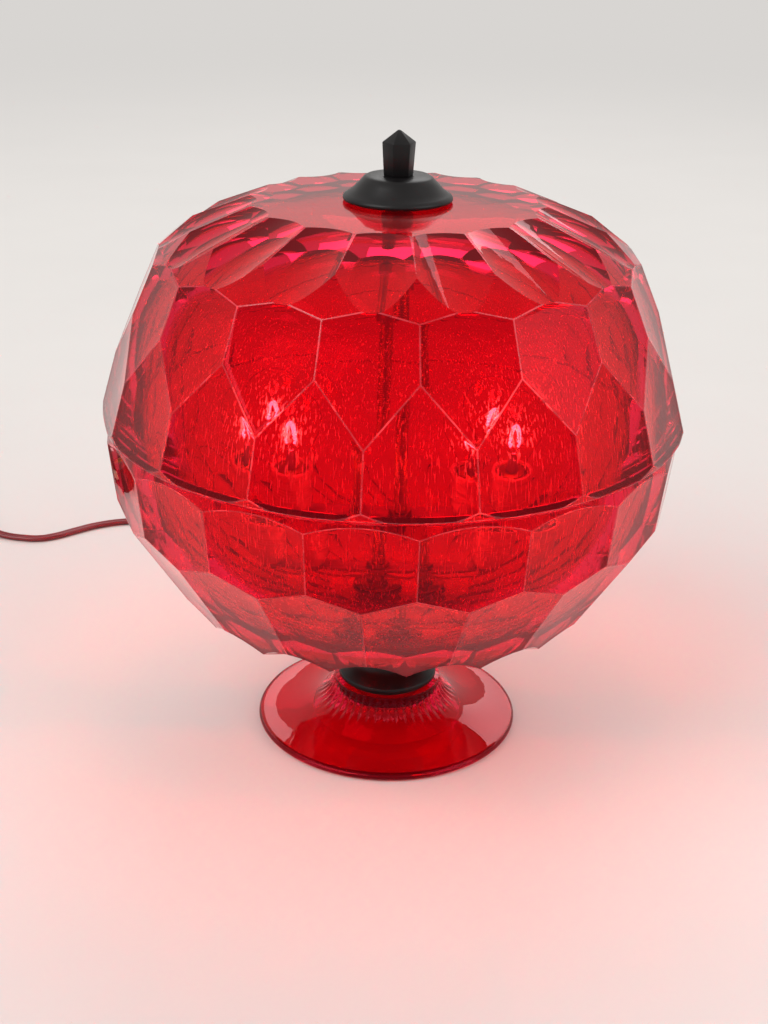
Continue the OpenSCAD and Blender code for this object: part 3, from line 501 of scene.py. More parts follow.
link_route = [
    (switch_low.x + TUCK, switch_y, FITTING_Z), (switch_low.x - 6, switch_y, FITTING_Z),
    (switch_low.x - 16, switch_y - 1.6, 5), (-343.5, 193.6, 2.9), (-351, 185.8, COIL_Z),
    (-356, 175.6, COIL_Z), (-357.8, 163.5, COIL_Z), (COIL_START_X, 150, COIL_Z),
    (COIL_START_X, 138, COIL_Z), (COIL_START_X, COIL_CENTRE[1] + CORD_W, COIL_Z),
]
tail_route = [
    (COIL_START_X, COIL_CENTRE[1] - CORD_W, COIL_Z + COIL_LAYER), (COIL_START_X, 109, COIL_Z + COIL_LAYER),
    (-359.2, 102, 5.5), (-360.6, 94, 4), (-360.8, 85, 2.3), (-357.5, 74, CORD_Z), (-350, 63.5, CORD_Z),
    (-339, 57, CORD_Z), (-328, 54, 2.2), (-319, plug_y, 4.6), (-311, plug_y, 6.6),
    (plug_low.x - 5, plug_y, FITTING_Z), (plug_low.x + TUCK, plug_y, FITTING_Z),
]


def coil_point(turn):
    """The cord's place after this many turns: in along the floor, up a layer, and out on top."""
    inward = COIL_TURNS / 2 - abs(turn - COIL_TURNS / 2)
    radius = COIL_R - COIL_PITCH * inward
    around = math.pi + math.tau * turn
    rise = min(1, max(0, (turn - COIL_TURNS / 2 + CLIMB_TURNS / 2) / CLIMB_TURNS))
    lift = COIL_LAYER * rise * rise * (3 - 2 * rise)
    return (
        COIL_CENTRE[0] + radius * math.cos(around), COIL_CENTRE[1] + radius * math.sin(around),
        COIL_Z + lift,
    )


coil_route = [coil_point(i / COIL_RINGS) for i in range(COIL_TURNS * COIL_RINGS + 1)]


def twin_section():
    """The outline of two round cores side by side, joined by a thinner web."""
    core_r = CORD_T / 2
    offset = CORD_W / 2 - core_r
    notch = math.degrees(math.asin(CORD_WEB / 2 / core_r))
    right = arc(offset, 0, core_r, notch - 180, 180 - notch, CORE_STEPS)
    left = arc(-offset, 0, core_r, notch, 360 - notch, CORE_STEPS)
    return right + left


def spline_curve(name, points, cyclic=False, smooth=True):
    """A curve object of one spline through points in millimetres."""
    curve = bpy.data.curves.new(name, "CURVE")
    curve.dimensions = "3D"
    curve.resolution_u = CURVE_STEPS
    curve.twist_mode = "Z_UP"
    spline = curve.splines.new("BEZIER" if smooth else "POLY")
    held = spline.bezier_points if smooth else spline.points
    held.add(len(points) - 1)
    for knot, place in zip(held, points):
        at = Vector(place).to_3d() * MM
        knot.co = at if smooth else at.to_4d()
        if smooth:
            knot.handle_left_type = "AUTO"
            knot.handle_right_type = "AUTO"
    spline.use_cyclic_u = cyclic
    return placed(name, curve)


def cord_piece(name, route, replaces):
    """A length of the twin cord swept along its route, and the line down its middle in metres."""
    line = spline_curve(name + "_line", route)
    outline = [(x, y, 0) for x, y in twin_section()]
    section = spline_curve(name + "_section", outline, cyclic=True, smooth=False)
    bare = bpy.data.meshes.new_from_object(line)
    middle = [v.co.copy() for v in bare.vertices]
    bpy.data.meshes.remove(bare)
    line.data.bevel_mode = "OBJECT"
    line.data.bevel_object = section
    line.data.use_fill_caps = True
    bm = bmesh.new()
    take_mesh(bm, line)
    for leftover in (line, section):
        bpy.data.objects.remove(leftover)
    scaled(bm, 1 / MM)
    clean(bm)
    return piece(name, bm, "stand", vinyl, replaces, smooth=60), middle


lead, lead_line = cord_piece("cord_from_lamp", lead_route, ("cord_lead",))
rest, rest_line = cord_piece(
    "cord_to_plug", link_route + coil_route + tail_route, ("cord_link", "cord_coil", "cord_tail"),
)


# Ruby glass shells

FACETS = 18
STEP = math.tau / FACETS
CORNER = math.cos(STEP / 2)
FACET_TURN = math.radians(-5)
HALF_TURN = FACET_TURN + STEP / 2
RIM_STEPS = 180
# Faces whose normals rise more than these count as flat, and as too level to be facets
FLAT_RISE = 0.9999
LEVEL_RISE = 0.99
# Ridges sharper than this many degrees are rounded, by these widths
RIDGE_OVER = 3.5
DOME_RIDGE = 0.32
BOWL_RIDGE = 0.25
LAND_DEPTH = 0.25
LAND_INSET = 6.0
# Edges shorter than this are closed up before the ridges are rounded
SHORT_EDGE = 0.7
CUT_SNAP = 0.0005
# Each facet is hollowed a little: rings from its border inwards, as (width, drop)
DISH = [(1.1, 0.12), (1.5, 0.10)]
LEAST_DISHED = 300.0
# Slots of a shell's three finishes: its clear facets, its inside and its ridges, which are scuffed and carry
# a painted highlight
CLEAR = 0
PLUNGER = 1
SCUFFED_HIGHLIGHT = 2
GLOBE_R = 128.5
DOME_R = 129.8
HOLLOW_R = 118.9
HOLE_R = 5.4
bowl_low_box, bowl_high_box = span("lower_bowl")
dome_low_box, dome_high_box = span("upper_dome")
BOWL_RIM_Z = bowl_high_box.z
DOME_RIM_Z = dome_low_box.z
SEAM_Z = (BOWL_RIM_Z + DOME_RIM_Z) / 2
DOME_TOP_Z = dome_high_box.z
BOWL_BOTTOM_Z = bowl_low_box.z
# Heights at which a row of facets runs out at the rim, and at which two rows interlock
CUSP_Z = SEAM_Z + 5.3
DOME_LOCK_Z = SEAM_Z + 28.0
SHOULDER_Z = SEAM_Z + 75.0
BOWL_CUSP_Z = SEAM_Z - 5.8
BOWL_LOCK_Z = SEAM_Z - 33.3
TIP_Z = SEAM_Z - 85.0
DOME_LOW_LEAN = math.radians(16)
DOME_HIGH_LEAN = math.radians(23.8)
BOWL_HIGH_LEAN = math.radians(-6.2)
BOWL_LOW_LEAN = math.radians(-32)
DOME_FLAT_R = 60.0
BOWL_FLAT_R = 40.3
# The kites lean this far from the upper facets towards the flutes
KITE_LEAN = 0.65
KITE_DROP = 3.0
# The rods that cut the round scoops, and how far from the lamp's axis each has its middle
SCOOP_R = 40.0
SCOOP_STEPS = 160
UNDER_STEPS = 60
SCOOP_MID_R = 75.0
SCOOP_TOLERANCE = 0.1
ROD_LENGTH = 1.2 * GLOBE_R
BOWL_RIM_R = 126.4
DOME_RIM_R = 127.4
RIM_ROUND_H = 1.6
RIM_FLARE = 0.1
BLANK_SPARE = 8.0
# Thickness of the glass at the dome's top and shoulder, and at the bowl's floor and tips
TOP_WALL = 6.7
SHOULDER_WALL = 12.4
FLOOR_WALL = 8.0
TIP_WALL = 16.9
SEAT_R = 20.0
HOLLOW_STEPS = 36
HOLLOW_POWER = 2.2


def facet_plane(lean, radius, height):
    """A facet's lean and reach. Along its middle line radius * cos + height * sin is the reach."""
    return lean, radius * math.cos(lean) + height * math.sin(lean)


def radius_on(plane, height):
    """The radius of a facet's middle line at a height."""
    return (plane[1] - height * math.sin(plane[0])) / math.cos(plane[0])


dome_low = facet_plane(DOME_LOW_LEAN, DOME_R * CORNER, CUSP_Z)
dome_high = facet_plane(DOME_HIGH_LEAN, radius_on(dome_low, DOME_LOCK_Z) / CORNER, DOME_LOCK_Z)
shoulder_r = radius_on(dome_high, SHOULDER_Z)
flute_lean = math.atan2(shoulder_r - DOME_FLAT_R, DOME_TOP_Z - SHOULDER_Z)
dome_flute = facet_plane(flute_lean, shoulder_r, SHOULDER_Z)
kite_lean = DOME_HIGH_LEAN + KITE_LEAN * (flute_lean - DOME_HIGH_LEAN)
kite_z = SHOULDER_Z - KITE_DROP
kite = facet_plane(kite_lean, radius_on(dome_high, kite_z) / CORNER, kite_z)


def scoop_rise(radius):
    """How far the ridge between two scoops stands over their middle lines, this far from the lamp's axis."""
    aside = radius * math.sin(STEP / 2)
    return SCOOP_R - math.sqrt(SCOOP_R ** 2 - aside ** 2)


def ridge_height(radius):
    """The height at which two neighbouring scoops of the dome meet, this far from the lamp's axis."""
    lean, reach = dome_flute
    return (reach + scoop_rise(radius) - radius * CORNER * math.cos(lean)) / math.sin(lean)


# The ridges between the scoops are worn to narrow lands
land_outer = shoulder_r
land_inner = DOME_FLAT_R + LAND_INSET
land_lean = math.atan2(land_outer - land_inner, ridge_height(land_inner) - ridge_height(land_outer))
land_lean, land_reach = facet_plane(land_lean, land_outer, ridge_height(land_outer))
flute_land = (land_lean, land_reach - LAND_DEPTH)
bowl_high = facet_plane(BOWL_HIGH_LEAN, GLOBE_R * CORNER, BOWL_CUSP_Z)
bowl_low = facet_plane(BOWL_LOW_LEAN, radius_on(bowl_high, BOWL_LOCK_Z) / CORNER, BOWL_LOCK_Z)
tip_r = radius_on(bowl_low, TIP_Z)
# The scoops under the bowl meet at the tips of its lower facets and run out at its flat bottom
under_run = tip_r * CORNER - BOWL_FLAT_R
under_drop = TIP_Z - BOWL_BOTTOM_Z
under_lean = math.atan2(under_drop, under_run)
under_lean -= math.acos(scoop_rise(tip_r) / math.hypot(under_run, under_drop))
bowl_under = facet_plane(under_lean, BOWL_FLAT_R, BOWL_BOTTOM_Z)


def cut_row(bm, plane, turn):
    """Cuts one row of flat facets round a closed shape."""
    lean, reach = plane
    cuts = []
    for k in range(FACETS):
        around = turn + k * STEP - math.pi / 2
        level = math.cos(lean)
        outward = Vector((level * math.cos(around), level * math.sin(around), math.sin(lean)))
        bmesh.ops.bisect_plane(
            bm, geom=bm.verts[:] + bm.edges[:] + bm.faces[:], dist=CUT_SNAP, plane_co=outward * reach,
            plane_no=outward, clear_outer=True,
        )
        cuts += bmesh.ops.holes_fill(bm, edges=[e for e in bm.edges if e.is_boundary])["faces"]
    return [f for f in cuts if f.is_valid]


def cut_lands(bm, plane, turn):
    """Cuts narrow lands along the ridges of a row, and gives them the ridges' finish, scuffed and with a
    painted highlight.
    """
    for face in cut_row(bm, plane, turn):
        face.material_index = SCUFFED_HIGHLIGHT


def cut_scoops(bm, plane, turn, steps=SCOOP_STEPS):
    """Cuts one row of round flutes, each by a rod that lies along its slope."""
    lean, reach = plane
    middle_z = (reach - SCOOP_MID_R * math.cos(lean)) / math.sin(lean)
    blank = placed("blank", bpy.data.meshes.new("blank"))
    bm.to_mesh(blank.data)
    rods = bpy.data.collections.new("rods")
    bpy.context.scene.collection.children.link(rods)
    for k in range(FACETS):
        rod_bm = bmesh.new()
        bmesh.ops.create_cone(
            rod_bm, cap_ends=True, segments=steps, radius1=SCOOP_R, radius2=SCOOP_R, depth=ROD_LENGTH,
        )
        place = Matrix.Rotation(turn + k * STEP - math.pi / 2, 4, "Z")
        place = place @ Matrix.Translation((SCOOP_MID_R, 0, middle_z))
        place = place @ Matrix.Rotation(-lean, 4, "Y") @ Matrix.Translation((SCOOP_R, 0, 0))
        bmesh.ops.transform(rod_bm, matrix=place, verts=rod_bm.verts)
        rod = bpy.data.objects.new("rod", bpy.data.meshes.new("rod"))
        rod_bm.to_mesh(rod.data)
        rod_bm.free()
        rods.objects.link(rod)
    cut = blank.modifiers.new("scoops", "BOOLEAN")
    cut.operation = "DIFFERENCE"
    cut.solver = "MANIFOLD"
    cut.operand_type = "COLLECTION"
    cut.collection = rods
    bm.clear()
    take_mesh(bm, blank)
    for leftover in [blank] + rods.objects[:]:
        bpy.data.meshes.remove(leftover.data)
    bpy.data.collections.remove(rods)


def cut_under(bm, plane, turn):
    """Cuts the scoops under the bowl, in broad steps that leave room for the dish of the facets above."""
    cut_scoops(bm, plane, turn, UNDER_STEPS)


def is_scooped(face, plane, turn):
    """Whether a face lies in one of a row of scoops."""
    lean, reach = plane
    centre = face.calc_center_median()
    around = (math.atan2(centre.y, centre.x) + math.pi / 2 - turn + STEP / 2) % STEP - STEP / 2
    aside = centre.xy.length * math.sin(around)
    above = centre.xy.length * math.cos(around) * math.cos(lean) + centre.z * math.sin(lean) - reach
    return abs(math.hypot(SCOOP_R - above, aside) - SCOOP_R) < SCOOP_TOLERANCE


def hollow_outline(start_z, end_z, keep_r, keep_z, least_r):
    """The smooth inside of a shell, from its rim through a kept point to the flat where its pole would be."""
    kept = 1 - ((keep_z - start_z) / (end_z - start_z)) ** HOLLOW_POWER
    power = math.log(kept) / math.log(keep_r / HOLLOW_R)
    outline = []
    for i in range(HOLLOW_STEPS + 1):
        rise = math.sin(math.pi / 2 * i / HOLLOW_STEPS)
        radius = HOLLOW_R * max(0, 1 - rise ** HOLLOW_POWER) ** (1 / power)
        if radius > least_r:
            outline.append((radius, start_z + (end_z - start_z) * rise))
    return outline


def glass_shell(name, body, blank, rows, ridge_mm, hollow, replaces):
    """A faceted shell: a turned blank cut by rows of facets, then opened to its smooth turned hollow."""
    bm = bmesh.new()
    lathe(bm, blank, RIM_STEPS, closed=False)
    bmesh.ops.rotate(bm, cent=(0, 0, 0), matrix=Matrix.Rotation(FACET_TURN, 3, "Z"), verts=bm.verts)
    bmesh.ops.holes_fill(bm, edges=[e for e in bm.edges if e.is_boundary])
    clean(bm)
    for cut, plane, turn in rows:
        cut(bm, plane, turn)
        clean(bm)
    bmesh.ops.dissolve_degenerate(bm, dist=SHORT_EDGE, edges=bm.edges)
    bmesh.ops.dissolve_verts(bm, verts=[v for v in bm.verts if len(v.link_edges) == 2])
    scoops = [(plane, turn) for cut, plane, turn in rows if cut in (cut_scoops, cut_under)]
    leave = {f for f in bm.faces if f.material_index == SCUFFED_HIGHLIGHT or any(is_scooped(f, *row) for row in scoops)}
    for face in soften(bm, ridge_mm, RIDGE_OVER, leave=leave):
        face.material_index = SCUFFED_HIGHLIGHT
    flats = [f for f in bm.faces if abs(f.normal.z) > FLAT_RISE]
    facets = [f for f in bm.faces if abs(f.normal.z) < LEVEL_RISE and f.calc_area() > LEAST_DISHED]
    for width, drop in DISH:
        bmesh.ops.inset_individual(bm, faces=facets, thickness=width, depth=-drop, use_even_offset=False)
    bmesh.ops.delete(bm, geom=flats, context="FACES_ONLY")
    outside = set(bm.faces)
    lathe(bm, hollow, RIM_STEPS, closed=False)
    for face in bm.faces:
        if face not in outside:
            face.material_index = PLUNGER
    middle = (blank[0][1] + blank[-1][1]) / 2
    for above in (False, True):
        rims = [e for e in bm.edges if e.is_boundary and (e.verts[0].co.z > middle) == above]
        flat = bmesh.ops.triangle_fill(bm, edges=rims, use_beauty=True)["geom"]
        for face in flat:
            if isinstance(face, bmesh.types.BMFace):
                face.material_index = CLEAR
    clean(bm)
    shell = piece(name, bm, body, ruby, replaces, smooth=18)
    shell.data.materials.append(ruby_inside)
    shell.data.materials.append(ruby_ridge)


def dome_rim(height):
    """The dome's flared rim before its facets are cut."""
    return DOME_R + RIM_FLARE * (height - CUSP_Z), height


def bowl_rim(height):
    """The bowl's tapered rim before its facets are cut."""
    flare = (GLOBE_R - BOWL_RIM_R) / (BOWL_RIM_Z - BOWL_CUSP_Z)
    return GLOBE_R + flare * (BOWL_CUSP_Z - height), height


DOME_HOLLOW_TOP = DOME_TOP_Z - TOP_WALL
BOWL_FLOOR_Z = BOWL_BOTTOM_Z + FLOOR_WALL
dome_hollow = hollow_outline(
    DOME_RIM_Z, DOME_HOLLOW_TOP, shoulder_r - SHOULDER_WALL, SHOULDER_Z, 2 * HOLE_R,
)
dome_hollow += [(HOLE_R, DOME_HOLLOW_TOP), (HOLE_R, DOME_TOP_Z)]
bowl_hollow = hollow_outline(BOWL_RIM_Z, BOWL_FLOOR_Z, tip_r - TIP_WALL, TIP_Z, SEAT_R)
bowl_hollow += [(SEAT_R, BOWL_FLOOR_Z), (HOLE_R, BOWL_FLOOR_Z), (HOLE_R, BOWL_BOTTOM_Z)]
dome_blank = [
    (DOME_RIM_R, DOME_RIM_Z), dome_rim(DOME_RIM_Z + RIM_ROUND_H), dome_rim(CUSP_Z + BLANK_SPARE),
    dome_rim(SHOULDER_Z), ((DOME_FLAT_R + DOME_R) / 2, DOME_TOP_Z),
]
bowl_blank = [
    (bowl_rim(BOWL_CUSP_Z - BLANK_SPARE)[0], BOWL_BOTTOM_Z), bowl_rim(BOWL_CUSP_Z - BLANK_SPARE),
    (BOWL_RIM_R, BOWL_RIM_Z),
]
glass_shell("dome", "dome", dome_blank, [
    (cut_row, dome_low, HALF_TURN), (cut_row, dome_high, FACET_TURN), (cut_scoops, dome_flute, FACET_TURN),
    (cut_row, kite, HALF_TURN), (cut_lands, flute_land, HALF_TURN),
], DOME_RIDGE, dome_hollow, ("upper_dome",))
glass_shell("bowl", "stand", bowl_blank, [
    (cut_row, bowl_high, FACET_TURN), (cut_row, bowl_low, HALF_TURN), (cut_under, bowl_under, FACET_TURN),
], BOWL_RIDGE, bowl_hollow, ("lower_bowl",))


# Foot and neck

foot_high = span("foot")[1]
FOOT_R = foot_high.x
FOOT_H = foot_high.z
FOOT_RIM_T = 3.6
FOOT_RIM_ROUND = 1.4
FOOT_LEDGE = 0.8
FOOT_TOP_R = 25.5
# Bends the flange's curve; 1 would be an ellipse
SWEEP_POWER = 1.15
SWEEP_STEPS = 36
# The hollow under the foot, from the pipe's hole out to the table
FOOT_HOLLOW = [(HOLE_R, 14), (19.5, 14), (22, 12), (24, 9.8), (26, 7.7), (30, 4), (34.4, 0)]
# Short ribs round the collar under the neck
RIB_COUNT = 44
RIB_DEPTH = 0.7
RIB_LOW = 8.0


def foot_sweep():
    """The foot's flange, rising in one curve from its rim to its flat top."""
    points = []
    for i in range(SWEEP_STEPS + 1):
        a = math.pi / 2 * i / SWEEP_STEPS
        out = FOOT_TOP_R + (FOOT_R - FOOT_LEDGE - FOOT_TOP_R) * (1 - math.sin(a)) ** SWEEP_POWER
        up = FOOT_RIM_T + (FOOT_H - FOOT_RIM_T) * (1 - math.cos(a)) ** SWEEP_POWER
        points.append((out, up))
    return points


foot_outline = FOOT_HOLLOW + [(FOOT_R - 1.2, 0)]
foot_outline += arc(FOOT_R - FOOT_RIM_ROUND, FOOT_RIM_T / 2, FOOT_RIM_ROUND, -70, 70, 6)
foot_outline += foot_sweep() + [(HOLE_R, FOOT_H)]
foot_bm = turned(foot_outline, RIB_COUNT * 6, round_mm=0.5)
for vert in foot_bm.verts:
    reach = vert.co.xy.length
    if reach > FOOT_TOP_R - 0.5 and vert.co.z > FOOT_RIM_T:
        rise = (vert.co.z - RIB_LOW) / (FOOT_H - 1 - RIB_LOW)
        swell = RIB_DEPTH * math.sin(math.pi * min(1, max(0, rise)))
        ribbed = reach + swell * math.cos(RIB_COUNT * math.atan2(vert.co.y, vert.co.x))
        vert.co.xy = vert.co.xy * (ribbed / reach)
piece("foot_flange", foot_bm, "stand", ruby, ("foot",), smooth=50)

neck_low, neck_high = span("neck")
NECK_RIM_R = neck_high.x
NECK_TOP_R = 21.0
NECK_LIP_H = 2.4
# The waist's outline is two arcs that bulge inwards
WAIST_CENTRE_R = 22.4
WAIST_R = 6.9
neck_mid = (neck_low.z + neck_high.z) / 2
neck_outline = [(HOLE_R, neck_low.z), (NECK_RIM_R, neck_low.z), (NECK_RIM_R, neck_low.z + NECK_LIP_H)]
neck_outline += arc(WAIST_CENTRE_R, neck_mid - 1.2, WAIST_R, 240, 180, 8)
neck_outline += arc(WAIST_CENTRE_R, neck_mid + 3.2, WAIST_R, 180, 122, 8)
neck_outline += [(NECK_TOP_R, neck_high.z - NECK_LIP_H), (NECK_TOP_R, neck_high.z), (HOLE_R, neck_high.z)]
neck_bm = turned(neck_outline, round_mm=0.5)
piece("neck_spool", neck_bm, "stand", black_metal, ("neck",))


# Cap and finial

cap_low, cap_high = span("top_cap")
CAP_R = cap_high.x
CAP_TOP_R = 14.0
CAP_WALL = 2.5
CAP_LIP_W = 3.1
STUD_HOLE_R = 3.6
cap_outline = [(STUD_HOLE_R, cap_high.z), (CAP_TOP_R - 0.4, cap_high.z), (CAP_TOP_R + 0.8, cap_high.z - 0.7)]
cap_outline += [(CAP_TOP_R + 2.8, cap_high.z - 2.8), (CAP_TOP_R + 5.2, cap_high.z - 5.4)]
cap_outline += [(CAP_R - 1.8, cap_low.z + 2.5), (CAP_R - 0.4, cap_low.z + 1.7), (CAP_R, cap_low.z + 1)]
cap_outline += [(CAP_R, cap_low.z), (CAP_R - CAP_LIP_W, cap_low.z), (CAP_R - CAP_LIP_W, cap_low.z + 1)]
cap_outline += [(CAP_TOP_R, cap_high.z - CAP_WALL), (STUD_HOLE_R, cap_high.z - CAP_WALL)]
cap_bm = turned(cap_outline, round_mm=0.35)
piece("cap_bell", cap_bm, "dome", black_metal, ("top_cap",), smooth=35)

finial_low, finial_high = span("finial")
FINIAL_SIDES = 6
FINIAL_TURN = math.radians(10)
FINIAL_BASE_R = 6.4
FINIAL_WIDE_R = 7.3
FINIAL_WIDE_H = 14.0
FINIAL_TIP_R = 0.6
finial_bm = turned([
    (0, finial_low.z), (FINIAL_BASE_R, finial_low.z), (FINIAL_WIDE_R, finial_low.z + FINIAL_WIDE_H),
    (FINIAL_TIP_R, finial_high.z), (0, finial_high.z),
], FINIAL_SIDES, closed=False)
bmesh.ops.rotate(
    finial_bm, cent=(0, 0, 0), matrix=Matrix.Rotation(FINIAL_TURN, 3, "Z"), verts=finial_bm.verts,
)
soften(finial_bm, 0.3, 20, segments=3)
piece("finial_point", finial_bm, "finial_knob", black_metal, ("finial",), smooth=20)


# Pipe and hardware inside

pipe_low, pipe_high = span("lamp_pipe")
PIPE_R = pipe_high.x
PIPE_BORE_R = 3.55
# The real thread is finer; it is drawn coarse enough to show through the glass
THREAD_PITCH = 1.6
THREAD_DEPTH = 0.55


def thread(radius, low, high, pitch, depth):
    """The ridges of a thread, as an outline up its side."""
    count = int((high - low) / pitch)
    ridges = []
    for i in range(count):
        ridges.append((radius - depth, low + pitch * i))
        ridges.append((radius, low + pitch * (i + 0.5)))
    return ridges + [(radius - depth, low + pitch * count)]


pipe_outline = [(PIPE_BORE_R, pipe_low.z)]
pipe_outline += thread(PIPE_R, pipe_low.z, pipe_high.z, THREAD_PITCH, THREAD_DEPTH)
pipe_outline += [(PIPE_BORE_R, pipe_high.z)]
piece("threaded_pipe", turned(pipe_outline, 40), "stand", brass, ("lamp_pipe",), smooth=25)

for node in (
    "foot_nut", "bowl_nut", "bar_nuts", "socket_nuts", "socket_nipples", "top_coupling", "bowl_plate",
):
    rounded_copy(node + "_turned", node, "stand", brass)
for node in ("foot_washer", "socket_bar", "finial_stud"):
    rounded_copy(node + "_plated", node, "stand", zinc)
rounded_copy("finial_insert_turned", "finial_insert", "finial_knob", brass, width=0.15)
for node in ("foot_ring", "neck_ring", "bowl_ring"):
    dress(node, rubber)
dress("cap_felt", felt)
dress("seam_ring", gasket)
rounded_copy("wires_inside", "supply_wires", "stand", wire_jacket, width=0.05, smooth=60)


# Sockets and bulbs

SOCKET_HOLE_R = 4.95
SOCKET_FOOT_R = 11.0
CUP_R = 14.2
# Ribs round the socket, and the thread of the bulb's base
SOCKET_RIB = 2.4
SOCKET_RIB_DEPTH = 0.5
SCREW_PITCH = 3.6
SCREW_DEPTH = 0.9
BULB_R = 24.0
BULB_NECK_R = 11.9
BULB_WALL = 0.8
COLLAR_H = 4.0
CROWN_STEPS = 16
STEM_H = 15.0
STEM_START = 0.2
LEAD_R = 0.45
# The filament is a hairpin of coiled wire
FILAMENT_LIFT = 27.0
FILAMENT_HALF = 3.6
FILAMENT_H = 16.0
FILAMENT_TURNS = 19
FILAMENT_ARCH = 0.7
FILAMENT_COIL_R = 1.4
FILAMENT_WIRE_R = 0.95
# How far the coil's turns tip along the hairpin, across and up
COIL_TIP = (0.6, 0.5)
TURN_STEPS = 8


def moved(bm, x):
    """Moves a shape built on the lamp's axis to a socket's axis."""
    bmesh.ops.translate(bm, vec=(x, 0, 0), verts=bm.verts)
    return bm


def envelope_outline(low, high, inset):
    """A pear-shaped envelope from its neck to its crown, as an outline."""
    wide_z = high - BULB_R
    collar_z = low + COLLAR_H
    points = [(BULB_NECK_R - inset, low)]
    for i in range(CROWN_STEPS + 1):
        u = i / CROWN_STEPS
        swell = (1 - math.cos(math.pi * u)) / 2
        radius = BULB_NECK_R - inset + (BULB_R - BULB_NECK_R) * swell
        points.append((radius, collar_z + (wide_z - collar_z) * u))
    for i in range(1, CROWN_STEPS + 1):
        a = math.pi / 2 * i / CROWN_STEPS
        points.append(((BULB_R - inset) * math.cos(a), wide_z + (BULB_R - inset) * math.sin(a)))
    return points


def filament_route(z):
    """A coiled filament that climbs one support, crosses over and comes down the other."""
    steps = FILAMENT_TURNS * TURN_STEPS
    points = []
    for i in range(steps + 1):
        u = i / steps
        a = math.tau * FILAMENT_TURNS * u
        sway = FILAMENT_COIL_R * math.sin(a)
        climb = FILAMENT_H * math.sin(math.pi * u) ** FILAMENT_ARCH
        points.append((
            FILAMENT_HALF * math.cos(math.pi * (1 - u)) + COIL_TIP[0] * sway, FILAMENT_COIL_R * math.cos(a),
            z - FILAMENT_H / 2 + climb + COIL_TIP[1] * sway,
        ))
    return points


def wire_bm(route, radius):
    """A round wire along a route, as a bmesh in millimetres."""
    line = spline_curve("wire_line", route, smooth=False)
    line.data.bevel_depth = radius * MM
    line.data.bevel_resolution = 1
    line.data.use_fill_caps = True
    bm = bmesh.new()
    take_mesh(bm, line)
    bpy.data.objects.remove(line)
    scaled(bm, 1 / MM)
    clean(bm)
    return bm


for side in ("left", "right"):
    low, high = span("socket_" + side)
    axis_x = (low.x + high.x) / 2
    socket_r = (high.x - low.x) / 2
    cup_z = span("socket_contact_" + side)[0].z
    socket_outline = [(SOCKET_HOLE_R, low.z), (SOCKET_FOOT_R, low.z), (SOCKET_FOOT_R + 1, low.z + 3)]
    socket_outline += [(socket_r - 1, cup_z + 2)]
    socket_outline += thread(socket_r - 0.6, cup_z + 6, high.z - 8, SOCKET_RIB, SOCKET_RIB_DEPTH)
    socket_outline += [(socket_r - 1, high.z - 5), (socket_r, high.z - 4), (socket_r, high.z)]
    socket_outline += [(CUP_R, high.z), (CUP_R, cup_z), (SOCKET_HOLE_R, cup_z)]
    socket_bm = moved(turned(socket_outline, 64, round_mm=0.3), axis_x)
    piece("socket_cup_" + side, socket_bm, "stand", porcelain, ("socket_" + side,))
    rounded_copy("shell_" + side, "screw_shell_" + side, "stand", brass, width=0.1)
    rounded_copy("strip_" + side, "socket_contact_" + side, "stand", brass, width=0.12)

    bulb = "bulb_" + side
    glass_low, glass_high = span("bulb_glass_" + side)
    outer = envelope_outline(glass_low.z, glass_high.z, 0)
    inner = envelope_outline(glass_low.z, glass_high.z, BULB_WALL)
    envelope_bm = moved(turned(outer + inner[::-1], 72), axis_x)
    piece(
        "envelope_" + side, envelope_bm, bulb, bulb_glass, ("bulb_glass_" + side,), smooth=60,
    )
    base_low, base_high = span("bulb_cap_" + side)
    base_r = (base_high.x - base_low.x) / 2
    base_outline = [(0, base_low.z), (7.5, base_low.z), (base_r - SCREW_DEPTH, base_low.z + 2.6)]
    base_outline += thread(base_r, base_low.z + 3.4, base_high.z - 2.4, SCREW_PITCH, SCREW_DEPTH)
    base_outline += [(base_r - 0.5, base_high.z - 1.5), (base_r - 0.6, base_high.z), (0, base_high.z)]
    base_bm = moved(turned(base_outline, 64, closed=False, round_mm=0.4), axis_x)
    piece("screw_base_" + side, base_bm, bulb, brass, ("bulb_cap_" + side,), smooth=50)
    rounded_copy("tip_" + side, "bulb_contact_" + side, bulb, zinc, width=0.2)

    filament_z = glass_low.z + FILAMENT_LIFT
    stem_low = glass_low.z + STEM_START
    stem_high = glass_low.z + STEM_H
    stem_outline = [(0, stem_low), (6, stem_low), (4.4, glass_low.z + 5), (3, stem_high - 1)]
    stem_bm = turned(stem_outline + [(2.6, stem_high), (0, stem_high)], 32, closed=False, round_mm=0.4)
    for hand in (-1, 1):
        lead_in = wire_bm([
            (hand * 1.2, 0, stem_high - 2), (hand * 2.4, 0, stem_high + 1),
            (hand * FILAMENT_HALF, 0, filament_z - FILAMENT_H / 2),
        ], LEAD_R)
        spare = bpy.data.meshes.new("lead_in")
        lead_in.to_mesh(spare)
        lead_in.free()
        stem_bm.from_mesh(spare)
        bpy.data.meshes.remove(spare)
    piece("stem_" + side, moved(stem_bm, axis_x), bulb, zinc, ("bulb_mount_" + side,))
    filament_bm = moved(wire_bm(filament_route(filament_z), FILAMENT_WIRE_R), axis_x)
    piece(
        "filament_" + side, filament_bm, bulb, tungsten, ("bulb_mount_" + side,), smooth=60,
    )


# Cord fittings

RELIEF_SHANK_R = 4.2
RELIEF_FLANGE_R = 5.3
RELIEF_FLANGE_Y = 15.8
RELIEF_RIBS = 6
RELIEF_RIB_PITCH = 3.6
RELIEF_GROOVE = 0.7


